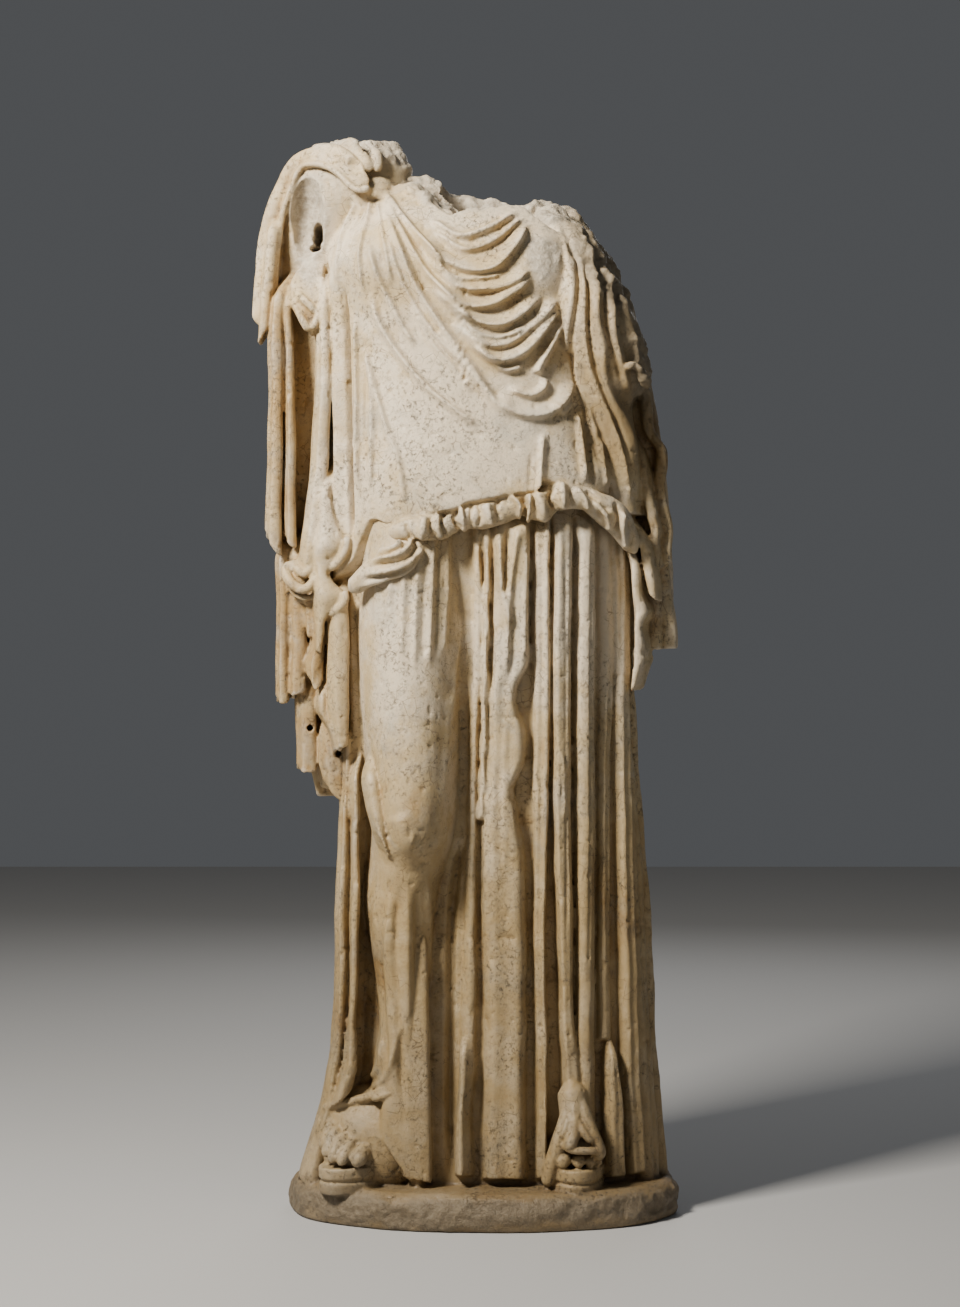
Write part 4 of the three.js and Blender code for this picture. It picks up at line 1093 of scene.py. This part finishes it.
def wear(o):
    """Age the carved surface: uneven faces, chipped edges, pits and broken stone."""
    points, normals, edges = mesh_arrays(o)
    proud = height_over(points, normals, edges, 6)
    share, rough = broken_at(points)
    out = 0.8 * noise(points, 46, 1) + 0.5 * noise(points, 17, 2)
    out += CRISP * np.clip(proud, -2.5, 2.5) * (1 - share)
    chipped = ease(0.36, 0.6, noise(points, 30, 3)) + ease(0.45, 0.65, noise(points, 13, 4))
    out -= CHIP_DEPTH * np.clip(chipped, 0, 1) * ease(0.7, 2.0, proud) * (1 - share)
    out -= PIT_DEPTH * ease(0.62, 0.8, noise(points, 11, 5)) * (1 - share)
    ragged = 1 - 2 * facets(points, 46, 6) + 0.5 * noise(points, 16, 8) + 0.35 * noise(points, 8, 9)
    out += rough * (ragged - 0.15)
    worn = points + normals * out[:, None]
    worn[:, 2] = np.maximum(worn[:, 2], 0)  # it stands flat on the ground
    set_points(o, worn)


BEHIND = 25.0  # from this far back the surface is plainer
THINNED = 0.86  # the share of its triangles that the plainer surface loses


def thin_out(o):
    """Bring the mesh down to its count of triangles, the back and the underside most of all."""
    _, y, z = points_of(o).T
    behind = np.flatnonzero((y > BEHIND) | (z < 2))
    plain = o.vertex_groups.new(name="plain")
    plain.add(behind.tolist(), 1.0, "REPLACE")
    apply(o, "DECIMATE", ratio=1 - THINNED * len(behind) / len(y), vertex_group=plain.name)
    o.vertex_groups.clear()
    ratio = MOST_TRIANGLES / sum(len(p.vertices) - 2 for p in o.data.polygons)
    apply(o, "DECIMATE", ratio=min(1, ratio))


robe = carve("robe_and_plinth", robe_shapes(), feet())
mantle = carve("mantle_and_overfold", mantle_shapes())
for piece in (robe, mantle):
    wear(piece)
    thin_out(piece)
    select_only(piece)
    bpy.ops.object.shade_smooth()

# ------------------------------------------------------------------ stains, dirt and painted shade

# Where the stone is browner or paler: middle, half sizes, and how much.
TINTS = [
    ((40, -60, 300), (380, 300, 620), 0.3),
    ((-300, 0, 1250), (60, 200, 560), 0.9),
    ((-240, -20, 800), (70, 120, 190), 0.6),
    ((-240, -60, 980), (60, 120, 120), 0.45),
    ((300, 20, 1130), (50, 160, 260), 0.5),
    ((230, -60, 600), (70, 160, 420), 0.25),
    ((-100, -200, 640), (70, 90, 130), 0.45),
    ((-150, -160, 330), (110, 120, 260), 0.2),
    ((60, -120, 1520), (70, 80, 80), 0.3),
    ((-148, -160, 1560), (56, 60, 70), 0.3),
    ((-90, -160, 1330), (130, 80, 190), -0.5),
    ((60, -160, 1260), (150, 80, 100), -0.45),
    ((-120, -190, 930), (70, 60, 160), -0.35),
    ((-130, -170, 420), (50, 60, 120), -0.2),
    ((-262, -40, 1600), (40, 90, 100), -0.7),
]


def shade_and_grime_at(points):
    """Painted shade with dirt, from 0 to 2: lower down, where the light falls off, on the plinth and on her
    left side.
    """
    x, _, z = points.T
    # painted shade with dirt: darker lower down, where the light falls off, and darker on the plinth
    shade_and_grime = ease(1250, 60, z) + 0.35 * ease(760, 380, z)
    shade_and_grime += 0.6 * ease(PLINTH_TOP + 14, PLINTH_TOP - 4, z)
    # darker on her left side above the waist: partly painted shade, partly weathering
    return np.clip(shade_and_grime + 1.35 * ease(120, 230, x) * ease(1170, 1260, z), 0, 2)


def stain_and_shade(o):
    """Keep on each point how deep it lies, how proud it stands, how broken and brown it is, and how much
    painted shade and dirt it takes.
    """
    points, normals, edges = mesh_arrays(o)
    fine, middling, wide = (height_over(points, normals, edges, rounds) for rounds in (3, 14, 60))
    # how deep each point lies, at three scales: the colour goes to honey and umber in the hollows, partly
    # as patina and dirt, partly as painted shade
    hollow = 0.4 * np.clip(-fine / 2.4, 0, 1) + 0.7 * np.clip(-middling / 7, 0, 1)
    hollow += 0.5 * np.clip(-wide / 20, 0, 1)
    proud = 0.6 * np.clip(fine / 1.6, 0, 1) + 0.4 * np.clip(middling / 6, 0, 1)
    tint = sum(much * ease(1.25, 0.35, away_from(points, middle, half)) for middle, half, much in TINTS)
    values = {"hollow": hollow, "proud": proud, "broken": broken_at(points)[0], "tint": tint}
    values["shade_and_grime"] = shade_and_grime_at(points)
    for name, value in values.items():
        kept = o.data.attributes.new(name, "FLOAT", "POINT")
        kept.data.foreach_set("value", softened(value, edges, 1).astype(np.float32))


# ------------------------------------------------------------------ the marble


class Nodes:
    """A material's node tree, with short names for the nodes that stone needs."""

    def __init__(self, name):
        self.material = bpy.data.materials.new(name)
        self.material.use_nodes = True
        self.tree = self.material.node_tree
        self.shader = self.tree.nodes["Principled BSDF"]
        self.place = self.node("ShaderNodeTexCoord").outputs["Object"]

    def node(self, kind, **settings):
        """A new node with these settings."""
        made = self.tree.nodes.new(kind)
        for key, value in settings.items():
            setattr(made, key, value)
        return made

    def put(self, value, socket):
        """Link a socket, or set a plain value."""
        if isinstance(value, bpy.types.NodeSocket):
            self.tree.links.new(value, socket)
        else:
            socket.default_value = value

    def noise(self, scale, detail=6.0, roughness=0.6, distortion=0.0):
        """Noise in 3-D, its scale in lumps to the metre."""
        made = self.node("ShaderNodeTexNoise")
        self.put(self.place, made.inputs["Vector"])
        settings = {"Scale": scale, "Detail": detail, "Roughness": roughness, "Distortion": distortion}
        for key, value in settings.items():
            made.inputs[key].default_value = value
        return made.outputs[0]

    def cracks(self, scale):
        """How far the stone is from a net of cracks, in cells of that scale."""
        made = self.node("ShaderNodeTexVoronoi", feature="DISTANCE_TO_EDGE")
        self.put(self.place, made.inputs["Vector"])
        made.inputs["Scale"].default_value = scale
        return made.outputs["Distance"]

    def kept(self, name):
        """A value that stain() kept on the mesh."""
        return self.node("ShaderNodeAttribute", attribute_name=name).outputs["Fac"]

    def maths(self, operation, a, b=0.0, clamp=False):
        """One sum of two values."""
        made = self.node("ShaderNodeMath", operation=operation, use_clamp=clamp)
        self.put(a, made.inputs[0])
        self.put(b, made.inputs[1])
        return made.outputs[0]

    def span(self, value, low, high, to_low=0.0, to_high=1.0):
        """Map low to high onto to_low to to_high, with soft ends."""
        made = self.node("ShaderNodeMapRange", interpolation_type="SMOOTHSTEP")
        for socket, v in zip(made.inputs, (value, low, high, to_low, to_high)):
            self.put(v, socket)
        return made.outputs[0]

    def mix(self, share, a, b, blend="MIX"):
        """Colour a, with that share of colour b over it."""
        made = self.node("ShaderNodeMix", data_type="RGBA", blend_type=blend)
        for name, value in (("Factor_Float", share), ("A_Color", a), ("B_Color", b)):
            socket = next(s for s in made.inputs if s.identifier == name)
            self.put(value, socket)
        return next(s for s in made.outputs if s.identifier == "Result_Color")


IVORY, CREAM, HONEY = (0.62, 0.515, 0.365, 1), (0.5, 0.38, 0.21, 1), (0.33, 0.205, 0.075, 1)
UMBER, SOOT, PEPPER = (0.09, 0.053, 0.022, 1), (0.04, 0.034, 0.026, 1), (0.12, 0.095, 0.066, 1)
BLOOM, EARTH = (0.4, 0.37, 0.31, 1), (0.22, 0.17, 0.115, 1)
BREAK_DARK, BREAK_PALE, CREST = (0.32, 0.27, 0.205, 1), (0.54, 0.48, 0.39, 1), (0.68, 0.61, 0.5, 1)
# colours multiplied in lower down, on the plinth and on her left side: painted shade, with dust and grime
DUST_AND_SHADE, GRIME_AND_SHADE = (0.66, 0.6, 0.48, 1), (0.5, 0.48, 0.46, 1)


def patina_and_shade(n, mottled, hollow, tint):
    """The warm colour of old marble: ivory, going over cream and honey to umber in the hollows, where the
    umber is partly patina and partly painted shade.
    """
    warmth = n.maths("ADD", n.span(n.noise(4.5, 5, 0.62, 0.3), 0.36, 0.68, -0.25, 0.45), tint)
    warmth = n.maths("ADD", warmth, n.span(mottled, 0.4, 0.7, -0.2, 0.28))
    # painted shade and patina: the hollows go warmer, towards honey
    warmth = n.maths("ADD", warmth, n.maths("MULTIPLY", hollow, 0.75))
    colour = n.mix(n.span(warmth, -0.25, 0.4), IVORY, CREAM)
    colour = n.mix(n.span(warmth, 0.35, 1.15, 0, 0.85), colour, HONEY)
    # painted shade and patina: the deepest hollows go to umber
    deep = n.maths("ADD", hollow, n.span(mottled, 0.4, 0.75, -0.12, 0.2))
    return n.mix(n.span(deep, 0.42, 1.15, 0, 0.88), colour, UMBER)


def dirtied(n, colour, specks, broken):
    """The colour with grey bloom, old earth, specks, pepper spots and the marks of roots."""
    colour = n.mix(n.span(n.noise(9, 7, 0.72, 0.6), 0.48, 0.7, 0, 0.5), colour, BLOOM)
    colour = n.mix(n.span(n.noise(26, 9, 0.8, 0.4), 0.5, 0.68, 0, 0.4), colour, EARTH)
    colour = n.mix(n.maths("MULTIPLY", specks, 0.75), colour, SOOT)
    thick = n.maths("MULTIPLY", broken, 0.7)  # pepper is thickest where the stone is broken
    thick = n.maths("ADD", n.span(n.noise(17, 5, 0.7), 0.4, 0.62), thick, clamp=True)
    pepper = n.maths("MULTIPLY", n.span(n.noise(330, 4, 0.7), 0.54, 0.64), thick)
    colour = n.mix(n.maths("MULTIPLY", pepper, 0.4), colour, PEPPER)
    roots = n.span(n.cracks(52), 0.04, 0.0)
    roots = n.maths("MULTIPLY", roots, n.span(n.noise(14, 6, 0.6, 1.2), 0.5, 0.62))
    return n.mix(n.maths("MULTIPLY", roots, 0.6), colour, UMBER)


def marble():
    """Weathered marble: its colour, with painted shade in its hollows, lower down and on her left side, how
    it takes the light, and its grain.
    """
    n = Nodes("marble")
    hollow, proud, broken, tint, shade_and_grime = map(n.kept, ("hollow", "proud", "broken", "tint", "shade_and_grime"))
    mottled, fine = n.noise(19, 8, 0.66, 0.4), n.noise(120, 6, 0.7)
    specks = n.span(n.noise(140, 9, 0.8, 0.2), 0.52, 0.64)
    specks = n.maths("MULTIPLY", specks, n.span(n.noise(8, 6, 0.7), 0.38, 0.6))

    colour = dirtied(n, patina_and_shade(n, mottled, hollow, tint), specks, broken)
    broken_stone = n.mix(n.span(fine, 0.35, 0.7), BREAK_DARK, BREAK_PALE)
    colour = n.mix(n.maths("MULTIPLY", broken, 0.75), colour, broken_stone)
    rubbed = n.maths("MULTIPLY", n.span(proud, 0.3, 0.95), n.span(mottled, 0.42, 0.6))
    colour = n.mix(n.maths("MULTIPLY", rubbed, 0.6), colour, CREST)
    # painted shade with dust and grime: darker lower down, on the plinth and on her left side
    colour = n.mix(n.span(shade_and_grime, 0.0, 1.0, 0, 0.9), colour, DUST_AND_SHADE, "MULTIPLY")
    colour = n.mix(n.span(shade_and_grime, 0.9, 1.9), colour, GRIME_AND_SHADE, "MULTIPLY")
    n.put(colour, n.shader.inputs["Base Color"])
    n.put(n.span(fine, 0.3, 0.8, 0.5, 0.72), n.shader.inputs["Roughness"])
    n.put(0.06, n.shader.inputs["Subsurface Weight"])
    n.put((0.01, 0.006, 0.004), n.shader.inputs["Subsurface Radius"])
    n.put(0.5, n.shader.inputs["Subsurface Scale"])

    grain = n.maths("MULTIPLY", fine, n.maths("ADD", 0.35, broken))
    grain = n.maths("ADD", grain, n.maths("MULTIPLY", n.noise(42, 6, 0.66), 0.7))
    grain = n.maths("ADD", grain, n.maths("MULTIPLY", n.noise(420, 3, 0.6), 0.15))
    grain = n.maths("SUBTRACT", grain, n.maths("MULTIPLY", specks, 0.3))
    bump = n.node("ShaderNodeBump")
    n.put(0.8, bump.inputs["Strength"])
    n.put(0.003, bump.inputs["Distance"])
    n.put(grain, bump.inputs["Height"])
    n.put(bump.outputs["Normal"], n.shader.inputs["Normal"])
    return n.material


stone = marble()
for piece in (robe, mantle):
    stain_and_shade(piece)
    piece.data.materials.clear()
    piece.data.materials.append(stone)
    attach(piece, "root")
    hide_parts("statue")

# ------------------------------------------------------------------ studio

deselect()
bpy.ops.mesh.primitive_plane_add(size=14)
floor = bpy.context.object
floor.name = "floor"
paint = bpy.data.materials.new("pale floor")
paint.use_nodes = True
matt = paint.node_tree.nodes["Principled BSDF"].inputs
matt["Base Color"].default_value = (0.4, 0.395, 0.39, 1)
matt["Roughness"].default_value = 0.85
floor.data.materials.append(paint)
floor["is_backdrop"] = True

world = bpy.data.worlds.new("studio")
bpy.context.scene.world = world
world.use_nodes = True
room = world.node_tree.nodes["Background"].inputs
room["Color"].default_value = (0.75, 0.78, 0.82, 1)
room["Strength"].default_value = 0.11


def softbox(name, at, aim, size, watts, colour):
    """A square lamp in metres, turned to where it aims."""
    light = bpy.data.lights.new(name, "AREA")
    light.shape = "SQUARE"
    light.size, light.energy, light.color = size, watts, colour
    lamp = bpy.data.objects.new(name, light)
    bpy.context.scene.collection.objects.link(lamp)
    lamp.location = at
    lamp.rotation_euler = (Vector(aim) - Vector(at)).to_track_quat("-Z", "Y").to_euler()


softbox("key light", (-1.65, -1.75, 2.85), (0, 0, 1.65), 0.65, 255, (1.0, 0.95, 0.86))
softbox("back light", (0.6, 3.4, 2.6), (0, 0, 1.0), 1.6, 30, (0.95, 0.97, 1.0))
softbox("fill light", (2.4, -3.0, 1.8), (0, 0, 1.3), 2.0, 8, (0.9, 0.95, 1.0))

lens = bpy.data.cameras.new("camera")
lens.lens, lens.sensor_width = 73.5, 36
camera = bpy.data.objects.new("camera", lens)
bpy.context.scene.collection.objects.link(camera)
camera.location = place(18, -4400, 910.4)
camera.rotation_euler = (math.pi / 2, 0, 0)
bpy.context.scene.camera = camera

sizes = {"cad": cad_box, "visual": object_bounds()}
{name: [list(corner) for corner in box] for name, box in sizes.items()}
